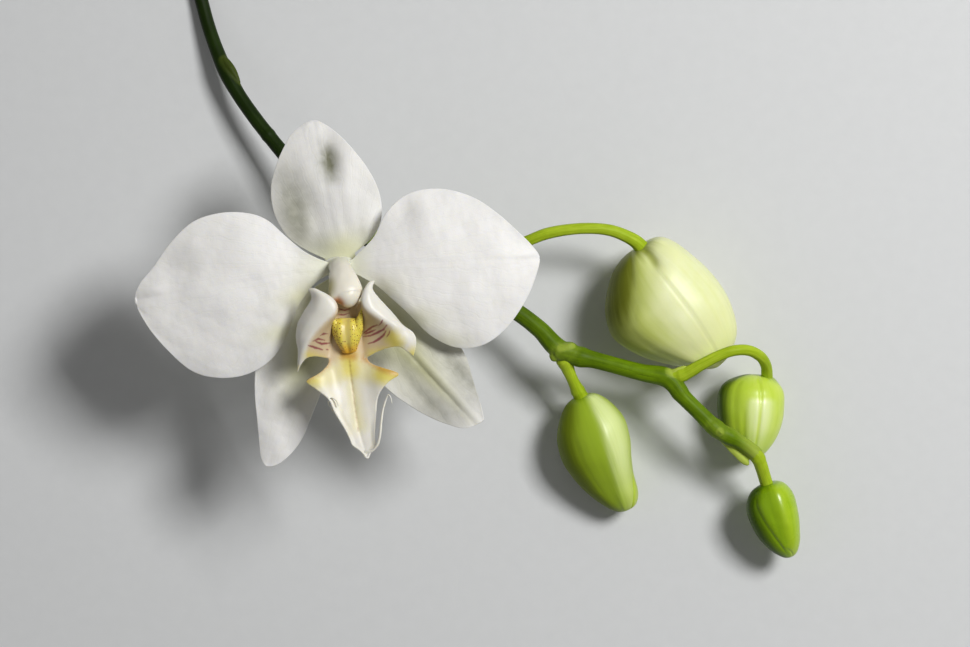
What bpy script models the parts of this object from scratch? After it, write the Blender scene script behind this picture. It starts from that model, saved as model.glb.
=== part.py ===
"""Moth orchid flower: a cut flowering spray with one open flower and four buds, lying on its back.

The frame is in metres, +Z up. X runs along the spray, from the open flower's side to the last bud.
The origin is on the surface that the spray lies on, under the middle of the spray.
Every size below is in millimetres, and is turned into metres where a mesh is made.
"""
import math

import bmesh
import bpy
from mathutils import Vector

MM = 0.001
WELD = 0.00001
UP = Vector((0.0, 0.0, 1.0))

# Clear space between two pieces that touch, and the thickness of the flower's blades
GAP = 0.3
PETAL_THICKNESS = 0.8
LIP_THICKNESS = 0.7

# The middle of the open flower, where its petals and sepals meet on the stalk's end
FLOWER_X = -27.0
FLOWER_Y = -4.0
SEAT_RADIUS = 2.0
SEAT_BOTTOM = 33.2
SEAT_TOP = 37.6
CLAW_START = SEAT_RADIUS + GAP

# Faces along and across a petal or sepal, and round and along a bud
BLADE_STEPS = (15, 10)
BUD_STEPS = (18, 14)

# Each blade: the way it points in degrees, how far its edges fall back (mm at 10 mm from the
# midrib), its edge waves (mm, number, phase), where one margin rolls back (side, place, spread, width
# in mm, depth in mm), and rows of (place along the midrib, height above the surface, half-width on
# the left, half-width on the right) as seen from the blade's foot.
BLADES = {
    "dorsal_sepal": {
        "angle": 101.2, "fall": 1.1, "wave": (0.35, 1.5, 0.6), "roll": None,
        "rows": [
            (0.0, 34.3, 3.0, 3.2), (2.2, 34.9, 6.0, 7.0), (5.0, 35.6, 8.9, 9.4),
            (8.6, 36.2, 10.7, 10.3), (12.5, 36.5, 11.3, 10.1), (16.6, 36.4, 10.7, 8.8),
            (20.4, 35.8, 8.9, 6.9), (23.6, 35.1, 6.8, 4.9), (26.4, 34.2, 4.2, 2.5),
            (27.9, 33.5, 0.0, 0.0),
        ],
    },
    "left_sepal": {
        "angle": -110.8, "fall": 1.2, "wave": (0.3, 2.0, 0.0), "roll": None,
        "rows": [
            (0.0, 33.5, 1.5, 1.1), (3.6, 34.0, 2.4, 3.9), (7.8, 34.5, 3.0, 6.7),
            (12.5, 34.7, 3.9, 8.5), (17.6, 34.6, 4.8, 9.4), (22.6, 34.3, 5.0, 9.2),
            (27.8, 33.8, 4.9, 7.4), (32.6, 33.0, 4.7, 5.1), (36.4, 32.1, 3.7, 3.3),
            (39.4, 31.3, 2.0, 1.8), (40.7, 30.9, 0.0, 0.0),
        ],
    },
    "right_sepal": {
        "angle": -47.4, "fall": 1.0, "wave": (0.3, 2.0, 1.6), "roll": None,
        "rows": [
            (0.0, 33.5, 1.2, 1.3), (3.6, 34.0, 2.4, 3.6), (7.8, 34.5, 3.9, 6.2),
            (12.5, 34.8, 5.4, 8.1), (17.6, 34.9, 6.5, 9.7), (22.6, 34.7, 7.0, 9.8),
            (27.6, 34.2, 6.3, 8.8), (32.0, 33.4, 4.2, 7.4), (35.6, 32.5, 2.5, 5.7),
            (38.4, 31.7, 1.1, 3.7), (39.7, 31.3, 0.0, 0.0),
        ],
    },
    "left_petal": {
        "angle": -170.9, "fall": 0.75, "wave": (0.45, 2.0, 0.4), "roll": (1, 0.36, 0.2, 4.2, 2.3),
        "rows": [
            (0.0, 36.9, 1.0, 1.3), (2.4, 37.9, 1.9, 2.7), (4.8, 38.9, 3.6, 4.6),
            (7.6, 39.7, 6.5, 7.8), (10.8, 40.3, 12.0, 11.6), (14.6, 40.7, 16.1, 13.6),
            (19.8, 40.9, 18.2, 14.4), (25.4, 40.7, 18.0, 13.5), (30.4, 40.1, 15.8, 10.1),
            (34.6, 39.2, 10.8, 5.9), (37.7, 38.3, 5.4, 3.1), (39.3, 37.8, 0.0, 0.0),
        ],
    },
    "right_petal": {
        "angle": 2.6, "fall": 0.75, "wave": (0.45, 2.0, 2.2), "roll": (-1, 0.4, 0.22, 4.5, 1.6),
        "rows": [
            (0.0, 36.9, 1.4, 1.2), (2.4, 37.9, 3.5, 2.6), (4.8, 38.9, 6.0, 4.1),
            (7.5, 39.7, 10.6, 6.6), (10.9, 40.3, 13.5, 10.0), (15.0, 40.7, 14.7, 14.4),
            (20.0, 40.9, 14.4, 17.1), (25.2, 40.7, 12.4, 16.9), (29.6, 40.1, 9.1, 14.2),
            (33.2, 39.3, 5.6, 10.0), (36.0, 38.6, 2.6, 5.0), (37.4, 38.2, 0.0, 0.0),
        ],
    },
}

# The lip's middle, from its claw under the column to its pointed end, from the flower's middle:
# rows of (x, y, height above the surface, half-width on the left, half-width on the right).
LIP_ROWS = [
    (0.8, -1.5, 38.35, 1.5, 1.5), (1.0, -4.2, 40.6, 1.8, 1.9), (1.2, -6.8, 42.3, 2.6, 2.7),
    (1.4, -10.4, 42.5, 3.2, 3.2), (1.5, -14.2, 42.5, 3.6, 3.5), (1.6, -17.2, 42.7, 4.1, 3.7),
    (1.8, -19.2, 43.0, 4.7, 4.6), (2.1, -21.1, 43.1, 6.6, 9.6), (2.4, -22.7, 43.1, 8.9, 7.6),
    (2.7, -24.3, 43.2, 7.3, 5.8), (3.0, -26.3, 43.4, 5.2, 4.6), (3.4, -29.2, 43.8, 4.2, 4.0),
    (3.9, -32.1, 44.4, 2.9, 3.3), (4.5, -35.0, 45.1, 2.0, 2.6), (5.1, -37.0, 45.8, 1.0, 1.4),
    (5.4, -37.9, 46.3, 0.0, 0.0),
]
LIP_FALL = 1.6

# The lip's two side lobes: rows from the top edge down, each from the root beside the callus over
# the crest to the free margin, as (x, y, height) from the flower's middle.
LEFT_LOBE = [
    [(-1.0, -8.9, 42.5), (-1.9, -8.2, 44.8), (-3.3, -6.2, 47.0), (-4.4, -4.8, 47.2), (-5.4, -4.8, 45.8)],
    [(-1.2, -10.2, 42.5), (-1.2, -9.4, 45.0), (-1.5, -8.5, 47.6), (-4.0, -7.8, 48.0), (-6.8, -8.4, 44.8)],
    [(-1.5, -11.9, 42.5), (-1.7, -11.7, 45.3), (-2.7, -11.4, 48.2), (-5.4, -11.5, 47.6), (-8.0, -11.6, 44.2)],
    [(-1.7, -14.2, 42.5), (-3.2, -14.2, 44.9), (-5.2, -14.0, 47.4), (-7.0, -14.2, 46.6), (-8.5, -14.2, 44.1)],
    [(-2.0, -16.5, 42.6), (-4.2, -16.3, 44.4), (-6.3, -16.1, 46.4), (-7.4, -16.8, 46.0), (-8.3, -16.9, 44.5)],
    [(-2.4, -18.5, 42.8), (-4.6, -18.0, 43.9), (-6.5, -18.4, 45.4), (-7.8, -20.0, 45.0), (-8.4, -21.3, 44.0)],
]
RIGHT_LOBE = [
    [(3.4, -8.6, 42.5), (4.9, -6.2, 44.6), (5.3, -3.9, 47.0), (5.8, -3.3, 46.8), (6.4, -3.3, 45.6)],
    [(3.9, -9.6, 42.5), (4.9, -8.2, 45.1), (5.0, -6.4, 47.8), (6.2, -5.4, 47.8), (7.3, -5.5, 45.2)],
    [(4.2, -11.2, 42.5), (4.9, -10.1, 45.4), (5.8, -8.9, 48.3), (7.7, -8.1, 47.5), (9.3, -7.8, 44.8)],
    [(4.4, -13.1, 42.5), (6.9, -11.8, 45.0), (8.7, -10.7, 47.7), (10.1, -10.2, 46.8), (11.3, -10.2, 44.6)],
    [(4.6, -15.2, 42.5), (8.4, -13.8, 44.8), (10.7, -12.4, 46.9), (12.1, -12.3, 46.3), (13.0, -12.5, 44.6)],
    [(4.8, -17.0, 42.6), (8.6, -15.7, 44.5), (11.5, -14.7, 46.2), (13.3, -14.7, 45.8), (15.1, -14.8, 44.6)],
    [(5.0, -18.3, 42.8), (8.6, -16.7, 44.2), (11.5, -16.0, 45.5), (13.2, -17.0, 45.0), (14.7, -17.9, 44.1)],
]
LOBE_STEPS = (10, 9)

# The callus: its line, then rows of (place along it, left, right, front, back) half sizes
CALLUS_LINE = [(1.5, -9.4, 43.6), (1.4, -13.0, 43.8), (1.7, -17.3, 43.2)]
CALLUS_ROWS = [
    (0.0, 0.0, 0.0, 0.0, 0.0), (0.03, 1.9, 1.9, 1.6, 0.8), (0.22, 2.6, 2.6, 2.6, 1.4),
    (0.48, 2.9, 2.9, 2.6, 1.5), (0.76, 2.3, 2.2, 2.1, 1.3), (0.96, 1.3, 1.3, 1.1, 0.8),
    (1.0, 0.0, 0.0, 0.0, 0.0),
]
CALLUS_GROOVE = 0.28
CALLUS_HORNS = [
    ((-0.3, -11.6, 44.4), (-1.0, -9.6, 46.4), 1.1),
    ((3.2, -11.4, 44.6), (4.4, -8.9, 46.9), 1.0),
]

# The two tendrils at the lip's end: (x, y, height, radius) from the flower's middle
TENDRILS = [
    [
        (5.3, -36.6, 45.7, 0.42), (6.6, -36.3, 46.1, 0.4), (7.7, -35.0, 46.7, 0.38),
        (8.2, -33.0, 47.0, 0.34), (8.4, -30.6, 46.7, 0.32), (8.7, -28.4, 46.4, 0.31),
        (9.2, -26.6, 46.3, 0.3), (9.7, -25.4, 46.7, 0.3), (10.2, -25.7, 47.0, 0.3),
        (10.5, -27.0, 46.9, 0.3),
    ],
    [
        (4.4, -36.2, 45.2, 0.4), (2.6, -34.6, 43.6, 0.36), (1.3, -32.4, 42.7, 0.34),
        (0.2, -30.6, 42.4, 0.32), (-0.9, -29.2, 42.6, 0.31), (-1.7, -28.0, 43.2, 0.3),
        (-2.2, -26.9, 44.1, 0.3), (-1.6, -26.0, 45.0, 0.3), (-0.6, -26.4, 45.4, 0.3),
        (-0.1, -27.6, 45.3, 0.3),
    ],
]

# The column: its line from the seat to its front end, then rows as for the callus
COLUMN_LINE = [(0.0, 0.9, 37.9), (-0.1, 0.3, 40.4), (0.1, -1.2, 43.2), (0.5, -3.4, 45.4), (0.9, -5.4, 46.7)]
COLUMN_ROWS = [
    (0.0, 0.0, 0.0, 0.0, 0.0), (0.0, 1.9, 1.9, 1.2, 1.1), (0.22, 2.2, 2.2, 1.7, 1.7),
    (0.46, 2.4, 2.5, 2.1, 2.0), (0.7, 2.9, 3.1, 2.3, 1.9), (0.9, 3.2, 3.4, 2.3, 1.8),
    (1.0, 3.0, 3.2, 2.1, 1.6), (1.0, 0.0, 0.0, 0.0, 0.0),
]
CAP_LENGTH = 2.4
CAP_SHIFT = 0.9
CAP_ROWS = [
    (0.0, 0.0, 0.0, 0.0, 0.0), (0.0, 2.4, 2.2, 1.9, 1.6), (0.35, 2.5, 2.4, 2.0, 1.6),
    (0.75, 1.8, 1.8, 1.5, 1.2), (1.0, 0.0, 0.0, 0.0, 0.0),
]

# The stem and the stalks: rows of (x, y, height, radius)
STEM = [
    (-60.6, 64.4, 1.45, 1.6), (-60.1, 58.9, 1.45, 1.5), (-58.7, 53.6, 1.8, 1.45),
    (-57.1, 48.0, 2.7, 1.45), (-55.1, 42.5, 3.9, 1.5), (-53.0, 37.8, 5.0, 1.65),
    (-50.2, 32.9, 6.1, 1.5), (-46.5, 27.7, 7.3, 1.5), (-42.9, 23.2, 8.3, 1.5),
    (-39.9, 19.5, 9.2, 1.55), (-34.6, 12.4, 10.6, 1.65), (-27.5, 6.0, 12.0, 1.75),
    (-19.1, 0.7, 13.0, 2.1), (-9.7, -3.7, 13.6, 1.8), (-3.4, -6.6, 13.9, 2.0),
    (2.8, -9.8, 14.1, 1.8), (8.5, -12.9, 14.2, 1.8), (13.2, -16.5, 14.3, 1.85),
    (17.9, -21.0, 14.5, 2.1), (25.9, -23.2, 14.9, 1.75), (34.1, -25.4, 15.3, 1.8),
    (39.9, -26.7, 15.6, 2.1), (43.0, -30.4, 15.8, 1.7), (46.5, -33.9, 15.9, 1.65),
    (50.0, -37.3, 15.9, 1.8), (53.5, -39.2, 15.4, 1.55), (56.0, -40.7, 14.9, 1.45),
    (58.6, -42.8, 14.2, 1.3),
]
STALKS = {
    "bud_stalk_1": [
        (-3.4, -6.6, 13.9, 1.3), (1.8, -2.3, 14.6, 1.25), (6.2, 0.0, 15.4, 1.2),
        (10.5, 1.8, 16.4, 1.15), (15.2, 3.5, 17.2, 1.2), (21.6, 4.4, 17.4, 1.15),
        (27.6, 4.1, 16.8, 1.2), (32.2, 2.4, 15.4, 1.25), (34.7, 0.4, 13.6, 1.3),
        (35.7, -1.4, 12.2, 1.35),
    ],
    "bud_stalk_2": [
        (17.9, -21.0, 14.5, 1.8), (18.8, -23.9, 13.6, 1.5), (20.0, -26.8, 12.2, 1.4),
        (21.5, -29.8, 10.2, 1.55), (22.7, -31.9, 8.8, 1.6),
    ],
    "bud_stalk_3": [
        (39.7, -26.4, 15.6, 1.5), (43.2, -25.8, 16.4, 1.3), (46.8, -23.8, 17.6, 1.2),
        (50.2, -22.0, 18.4, 1.12), (53.5, -20.9, 18.3, 1.12), (56.6, -20.9, 17.2, 1.12),
        (59.2, -22.2, 15.0, 1.12), (60.7, -24.1, 12.0, 1.15), (61.2, -26.1, 9.2, 1.2),
        (61.4, -27.9, 7.4, 1.2),
    ],
    "bud_stalk_4": [
        (58.6, -42.8, 14.2, 1.4), (59.4, -44.6, 13.4, 1.4), (60.1, -46.5, 12.2, 1.35),
        (60.9, -48.7, 10.8, 1.35), (61.7, -50.9, 9.6, 1.35),
    ],
}
FLOWER_STALK = [
    (-19.1, 0.7, 13.0, 1.9), (-21.3, 2.5, 16.0, 1.7), (-23.8, 2.8, 20.0, 1.6),
    (-26.0, 1.0, 25.0, 1.6), (-26.9, -2.4, 30.0, 1.8),
    (FLOWER_X, FLOWER_Y, SEAT_BOTTOM, SEAT_RADIUS), (FLOWER_X, FLOWER_Y, SEAT_TOP, SEAT_RADIUS),
]
STEP_LENGTH = 1.9

# Small scales fused to the stem: foot, tip, half-width, half-thickness. The long one is the
# withered bud under the last joint.
SCALES = [
    ((-52.8, 39.9, 5.6), (-50.3, 34.7, 6.9), 1.2, 0.8),
    ((-20.3, 1.4, 11.4), (-16.4, -3.0, 12.6), 1.6, 0.8),
    ((-4.8, -7.2, 12.6), (-1.2, -10.6, 13.4), 1.5, 0.8),
    ((17.7, -19.6, 15.6), (16.2, -23.2, 14.6), 1.1, 0.7),
    ((38.2, -26.9, 16.6), (42.0, -29.6, 17.0), 1.1, 0.8),
    ((49.6, -37.0, 16.9), (51.6, -38.2, 17.4), 1.0, 0.8),
    ((50.9, -38.8, 14.8), (57.0, -44.6, 13.0), 0.7, 0.6),
    ((56.6, -40.6, 14.6), (59.8, -42.6, 14.4), 1.0, 0.7),
]

# The buds: the line from the stalk's end to the tip, the depth of the three seams, then rows of
# (place along the line, left, right, front, back) half sizes, seen with the stalk's end on top.
BUDS = {
    "bud_1": {
        "line": [(32.6, -0.1, 12.4), (50.9, -24.3, 9.2)], "seams": 0.035,
        "rows": [
            (0.0, 0.0, 0.0, 0.0, 0.0), (0.02, 4.6, 5.6, 4.8, 4.8), (0.1, 8.6, 8.1, 7.6, 7.6),
            (0.23, 12.0, 9.4, 9.9, 9.9), (0.4, 13.7, 10.5, 10.9, 10.9), (0.58, 12.1, 10.7, 10.9, 10.9),
            (0.74, 9.2, 9.7, 9.4, 9.4), (0.88, 5.5, 7.6, 6.8, 6.8), (0.975, 1.9, 3.9, 3.0, 3.0),
            (1.0, 0.0, 0.0, 0.0, 0.0),
        ],
    },
    "bud_2": {
        "line": [(22.0, -30.4, 9.2), (31.7, -54.9, 5.1)], "seams": 0.03,
        "rows": [
            (0.0, 0.0, 0.0, 0.0, 0.0), (0.03, 3.6, 3.0, 3.2, 3.2), (0.14, 6.5, 5.4, 5.8, 5.8),
            (0.28, 8.4, 6.8, 7.4, 7.4), (0.44, 8.9, 6.5, 7.7, 7.7), (0.59, 8.1, 5.4, 6.8, 6.8),
            (0.74, 6.6, 4.4, 5.4, 5.4), (0.89, 4.2, 3.9, 4.0, 4.0), (0.98, 2.0, 2.4, 2.1, 2.1),
            (1.0, 0.0, 0.0, 0.0, 0.0),
        ],
    },
    "bud_3": {
        "line": [(58.2, -26.0, 7.6), (57.8, -44.0, 7.0)], "seams": 0.03,
        "rows": [
            (0.0, 0.0, 0.0, 0.0, 0.0), (0.02, 2.6, 4.0, 3.0, 3.0), (0.09, 5.4, 5.6, 5.0, 5.0),
            (0.2, 6.9, 6.8, 6.3, 6.3), (0.37, 7.3, 7.0, 6.8, 6.8), (0.54, 7.0, 6.7, 6.6, 6.6),
            (0.69, 6.2, 5.9, 5.8, 5.8), (0.85, 4.4, 4.3, 4.2, 4.2), (0.95, 2.3, 2.5, 2.3, 2.3),
            (1.0, 0.0, 0.0, 0.0, 0.0),
        ],
    },
    "bud_4": {
        "line": [(61.3, -48.8, 10.6), (66.1, -64.6, 8.4)], "seams": 0.03,
        "rows": [
            (0.0, 0.0, 0.0, 0.0, 0.0), (0.02, 2.8, 2.4, 2.6, 2.6), (0.09, 4.7, 3.7, 4.2, 4.2),
            (0.23, 6.0, 4.5, 5.0, 5.0), (0.43, 6.1, 4.5, 5.1, 5.1), (0.64, 5.3, 3.9, 4.4, 4.4),
            (0.83, 3.7, 3.0, 3.2, 3.2), (0.96, 1.7, 1.7, 1.6, 1.6), (1.0, 0.0, 0.0, 0.0, 0.0),
        ],
    },
}

# Colour and roughness of each finish
FINISHES = {
    "petal_white": ((0.86, 0.87, 0.84), 0.5),
    "lip_white": ((0.88, 0.85, 0.62), 0.45),
    "column_cream": ((0.86, 0.82, 0.62), 0.4),
    "stem_green": ((0.13, 0.27, 0.02), 0.4),
    "bud_pale": ((0.58, 0.66, 0.22), 0.45),
    "bud_green": ((0.36, 0.55, 0.05), 0.3),
}


def smooth(rows, t, widths=0):
    """The row at t (0 to 1) on a smooth curve through the rows.

    The last `widths` columns are half-widths: where they end at zero the outline turns round there,
    so the curve goes on as its own mirror image.
    """
    def beyond(end, before):
        place = len(end) - widths
        if widths and not any(end[place:]):
            return before[:place] + tuple(-w for w in before[place:])
        return tuple(2 * e - b for e, b in zip(end, before))

    padded = [beyond(rows[0], rows[1])] + list(rows) + [beyond(rows[-1], rows[-2])]
    position = t * (len(rows) - 1)
    first = max(0, min(int(position), len(rows) - 2))
    f = position - first
    return tuple(
        0.5 * (2 * b + (c - a) * f + (2 * a - 5 * b + 4 * c - d) * f ** 2 + (3 * b - a - 3 * c + d) * f ** 3)
        for a, b, c, d in zip(*padded[first:first + 4]))


def finish(name):
    """The Principled material of that name, made on first use."""
    if name in bpy.data.materials:
        return bpy.data.materials[name]
    colour, roughness = FINISHES[name]
    material = bpy.data.materials.new(name)
    material.use_nodes = True
    shader = material.node_tree.nodes["Principled BSDF"]
    shader.inputs["Base Color"].default_value = (*colour, 1.0)
    shader.inputs["Roughness"].default_value = roughness
    shader.inputs["Metallic"].default_value = 0.0
    return material


def add_piece(name, bm, collection, finish_name=None):
    """A bmesh in millimetres becomes an object in metres, welded and facing outwards."""
    for vertex in bm.verts:
        vertex.co *= MM
    bmesh.ops.remove_doubles(bm, verts=bm.verts, dist=WELD)
    bmesh.ops.recalc_face_normals(bm, faces=bm.faces)
    mesh = bpy.data.meshes.new(name)
    bm.to_mesh(mesh)
    bm.free()
    mesh.shade_smooth()
    piece = bpy.data.objects.new(name, mesh)
    collection.objects.link(piece)
    if finish_name:
        mesh.materials.append(finish(finish_name))
    return piece


def thicken(piece, thickness):
    solid = piece.modifiers.new("Thickness", "SOLIDIFY")
    solid.thickness = thickness * MM
    solid.offset = 0.0
    return piece


def sheet(name, steps, place, collection, finish_name=None):
    """A grid whose points come from place(t, side), t from 0 to 1 and side from -1 to 1."""
    bm = bmesh.new()
    bmesh.ops.create_grid(bm, x_segments=steps[0], y_segments=steps[1], size=1.0)
    for vertex in bm.verts:
        vertex.co = Vector(place((vertex.co.x + 1) / 2, vertex.co.y))
    bmesh.ops.triangulate(bm, faces=bm.faces)
    return add_piece(name, bm, collection, finish_name)


def blade(name, spec, collection):
    """A petal or sepal: narrow at its claw, hollow along the midrib, waved at its edges."""
    angle = math.radians(spec["angle"])
    ahead = Vector((math.cos(angle), math.sin(angle), 0.0))
    left = UP.cross(ahead)
    wave_depth, wave_count, wave_phase = spec["wave"]

    def place(t, side):
        along, height, left_width, right_width = smooth(spec["rows"], t, widths=2)
        across = side * (left_width if side > 0 else right_width)
        fall = spec["fall"] * (across / 10) ** 2
        turn = math.tau * wave_count * t + wave_phase + (math.pi / 2 if side > 0 else 0.0)
        wave = wave_depth * abs(side) ** 3 * math.sin(turn) * math.sqrt(max(0.0, math.sin(math.pi * t)))
        rolled = 0.0
        if spec["roll"] and side * spec["roll"][0] > 0:
            _, centre, spread, width, depth = spec["roll"]
            inward = (1 - abs(side)) * abs(left_width if side > 0 else right_width)
            rolled = depth * max(0.0, 1 - inward / width) ** 2 * math.exp(-((t - centre) / spread) ** 4)
        spot = Vector((FLOWER_X, FLOWER_Y, 0.0)) + ahead * (CLAW_START + along) + left * across
        return spot.x, spot.y, height - fall + wave - rolled

    return thicken(sheet(name, BLADE_STEPS, place, collection, "petal_white"), PETAL_THICKNESS)


def pod(name, line, rows, hint, steps, collection, finish_name=None, seams=0.0, groove=0.0):
    """A closed round body along a line; hint is the way its right-hand side points."""
    bm = bmesh.new()
    bmesh.ops.create_uvsphere(bm, u_segments=steps[0], v_segments=steps[1], radius=1.0)
    for vertex in bm.verts:
        t = math.acos(max(-1.0, min(1.0, vertex.co.z))) / math.pi
        turn = math.atan2(vertex.co.y, vertex.co.x)
        place, left_size, right_size, front_size, back_size = smooth(rows, t, widths=4)
        middle = Vector(smooth(line, place))
        ahead = (Vector(smooth(line, place + 0.01)) - Vector(smooth(line, place - 0.01))).normalized()
        right = (hint - hint.dot(ahead) * ahead).normalized()
        front = ahead.cross(right)
        across = math.cos(turn) * (right_size if math.cos(turn) > 0 else left_size)
        depth = math.sin(turn) * (front_size if math.sin(turn) > 0 else back_size)
        fullness = 1.0 - seams * (1 + math.cos(3 * (turn - math.pi / 2))) / 2
        if math.sin(turn) > 0:
            fullness -= groove * math.exp(-(math.cos(turn) / 0.35) ** 2)
        vertex.co = middle + (right * across + front * depth) * fullness
    return add_piece(name, bm, collection, finish_name)


def tube(name, route, bevel_resolution, collection, finish_name=None, step=STEP_LENGTH):
    """A round stalk: a bevelled curve on a smooth route of (x, y, height, radius), as a mesh."""
    length = sum((Vector(b[:3]) - Vector(a[:3])).length for a, b in zip(route, route[1:]))
    count = max(6, round(length / step))
    curve = bpy.data.curves.new(name, "CURVE")
    curve.dimensions = "3D"
    curve.bevel_depth = MM
    curve.bevel_resolution = bevel_resolution
    curve.use_fill_caps = True
    spline = curve.splines.new("POLY")
    spline.points.add(count - 1)
    for index, point in enumerate(spline.points):
        x, y, height, radius = smooth(route, index / (count - 1))
        point.co = (x * MM, y * MM, height * MM, 1.0)
        point.radius = radius
    bent = bpy.data.objects.new(name + "_curve", curve)
    collection.objects.link(bent)
    mesh = evaluated_mesh(bent)
    bpy.data.objects.remove(bent)
    bm = bmesh.new()
    bm.from_mesh(mesh)
    bpy.data.meshes.remove(mesh)
    for vertex in bm.verts:
        vertex.co /= MM
    return add_piece(name, bm, collection, finish_name)


def evaluated_mesh(piece):
    depsgraph = bpy.context.evaluated_depsgraph_get()
    return bpy.data.meshes.new_from_object(piece.evaluated_get(depsgraph))


def apply_modifiers(piece):
    old = piece.data
    mesh = evaluated_mesh(piece)
    piece.modifiers.clear()
    piece.data = mesh
    bpy.data.meshes.remove(old)
    return piece


def fuse(piece, others):
    """The other closed bodies are joined to the piece by Boolean unions, and removed."""
    for other in others:
        union = piece.modifiers.new("Union", "BOOLEAN")
        union.operation = "UNION"
        union.solver = "EXACT"
        union.object = other
        apply_modifiers(piece)
        bpy.data.objects.remove(other)
    return piece


def grown_copy(piece, cutters):
    """A cutter: the piece's own shape, larger by the gap all round."""
    grown = piece.copy()
    grown.data = piece.data.copy()
    grown.name = "clearance_of_" + piece.name
    cutters.objects.link(grown)
    for vertex in grown.data.vertices:
        vertex.co += vertex.normal * GAP * MM
    grown.hide_render = True
    grown.display_type = "WIRE"
    return grown


def clear_of(piece, clearances):
    """The piece ends one gap short of its neighbours: their grown copies are cut out of it."""
    for clearance in clearances:
        cut = piece.modifiers.new("Clearance", "BOOLEAN")
        cut.operation = "DIFFERENCE"
        cut.solver = "EXACT"
        cut.object = clearance
        apply_modifiers(piece)
    return piece


def rest_flat(piece):
    """What would reach under the surface is cut away, which leaves the flat spot it rests on."""
    bm = bmesh.new()
    bm.from_mesh(piece.data)
    geometry = bm.verts[:] + bm.edges[:] + bm.faces[:]
    cut = bmesh.ops.bisect_plane(bm, geom=geometry, plane_co=(0, 0, 0), plane_no=(0, 0, -1), clear_outer=True)
    rim = [item for item in cut["geom_cut"] if isinstance(item, bmesh.types.BMEdge)]
    bmesh.ops.contextual_create(bm, geom=rim)
    bmesh.ops.recalc_face_normals(bm, faces=bm.faces)
    bm.to_mesh(piece.data)
    bm.free()
    return piece


def from_flower(point):
    """A point given from the flower's middle, in the spray's frame."""
    return (FLOWER_X + point[0], FLOWER_Y + point[1], *point[2:])


def net_sheet(name, net, steps, collection):
    """A curved sheet through a net of points given from the flower's middle."""
    def place(t, side):
        across = [smooth(row, (side + 1) / 2) for row in net]
        return from_flower(smooth(across, t))

    return thicken(sheet(name, steps, place, collection), LIP_THICKNESS)


def scale_body(name, foot, tip, half_width, half_thickness, collection):
    """A small pointed scale that stands out of the stem."""
    rows = [
        (0.0, 0.0, 0.0, 0.0, 0.0),
        (0.05, half_width * 0.8, half_width * 0.8, half_thickness, half_thickness),
        (0.45, half_width, half_width, half_thickness, half_thickness),
        (0.85, half_width * 0.6, half_width * 0.6, half_thickness * 0.6, half_thickness * 0.6),
        (1.0, 0.0, 0.0, 0.0, 0.0),
    ]
    ahead = Vector(tip) - Vector(foot)
    return pod(name, [foot, tip], rows, UP.cross(ahead), (8, 6), collection)


def build_stem(parts, cutters):
    """The stem with its scales fused to it, and the clearances that the stalks are cut by."""
    stem = tube("spike", STEM, 3, parts, "stem_green")
    scales = [scale_body(f"scale_{index}", *scale, parts) for index, scale in enumerate(SCALES)]
    clearances = [grown_copy(body, cutters) for body in [stem] + scales]
    rest_flat(fuse(stem, scales))
    return clearances


def build_buds(parts, cutters):
    """The four buds, and the clearance of each by the name of its stalk."""
    clearances = {}
    for name, spec in BUDS.items():
        start, end = Vector(spec["line"][0]), Vector(spec["line"][1])
        colour = "bud_pale" if name == "bud_1" else "bud_green"
        right = UP.cross(end - start)
        bud = pod(name, spec["line"], spec["rows"], right, BUD_STEPS, parts, colour, seams=spec["seams"])
        clearances[name.replace("bud", "bud_stalk")] = grown_copy(bud, cutters)
        rest_flat(bud)
    return clearances


def build_stalks(parts, stem_clearances, bud_clearances):
    for name, route in STALKS.items():
        stalk = tube(name, route, 2, parts, "stem_green")
        clear_of(stalk, stem_clearances + [bud_clearances[name]])
    clear_of(tube("flower_stalk", FLOWER_STALK, 3, parts, "stem_green"), stem_clearances)


def build_lip(parts):
    """The lip is one body: its middle, two side lobes, the callus with its horns, two tendrils."""
    def place(t, side):
        x, y, height, left_width, right_width = smooth(LIP_ROWS, t, widths=2)
        across = side * (right_width if side > 0 else left_width)
        return from_flower((x + across, y, height - LIP_FALL * (across / 10) ** 2))

    lip = thicken(sheet("lip", (30, 8), place, parts, "lip_white"), LIP_THICKNESS)
    apply_modifiers(lip)
    right = Vector((1.0, 0.0, 0.0))
    others = [
        net_sheet("left_lobe", LEFT_LOBE, LOBE_STEPS, parts),
        net_sheet("right_lobe", RIGHT_LOBE, LOBE_STEPS, parts),
        pod("callus", [from_flower(p) for p in CALLUS_LINE], CALLUS_ROWS, right, (16, 10), parts,
            groove=CALLUS_GROOVE),
    ]
    for index, (foot, tip, radius) in enumerate(CALLUS_HORNS):
        others.append(scale_body(f"horn_{index}", from_flower(foot), from_flower(tip), radius, radius, parts))
    for index, route in enumerate(TENDRILS):
        others.append(tube(f"tendril_{index}", [from_flower(point) for point in route], 1, parts, step=1.0))
    for other in others:
        apply_modifiers(other)
    return fuse(lip, others)


def build_column(parts):
    """The column, and the anther cap that sits one gap in front of its flat end."""
    right = Vector((1.0, 0.0, 0.0))
    line = [from_flower(point) for point in COLUMN_LINE]
    pod("column", line, COLUMN_ROWS, right, (16, 14), parts, "column_cream")
    end = Vector(line[-1])
    ahead = (end - Vector(smooth(line, 0.99))).normalized()
    start = end + ahead * GAP + right * CAP_SHIFT
    cap_line = [tuple(start), tuple(start + ahead * CAP_LENGTH)]
    pod("anther_cap", cap_line, CAP_ROWS, right, (16, 10), parts, "column_cream")


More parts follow.
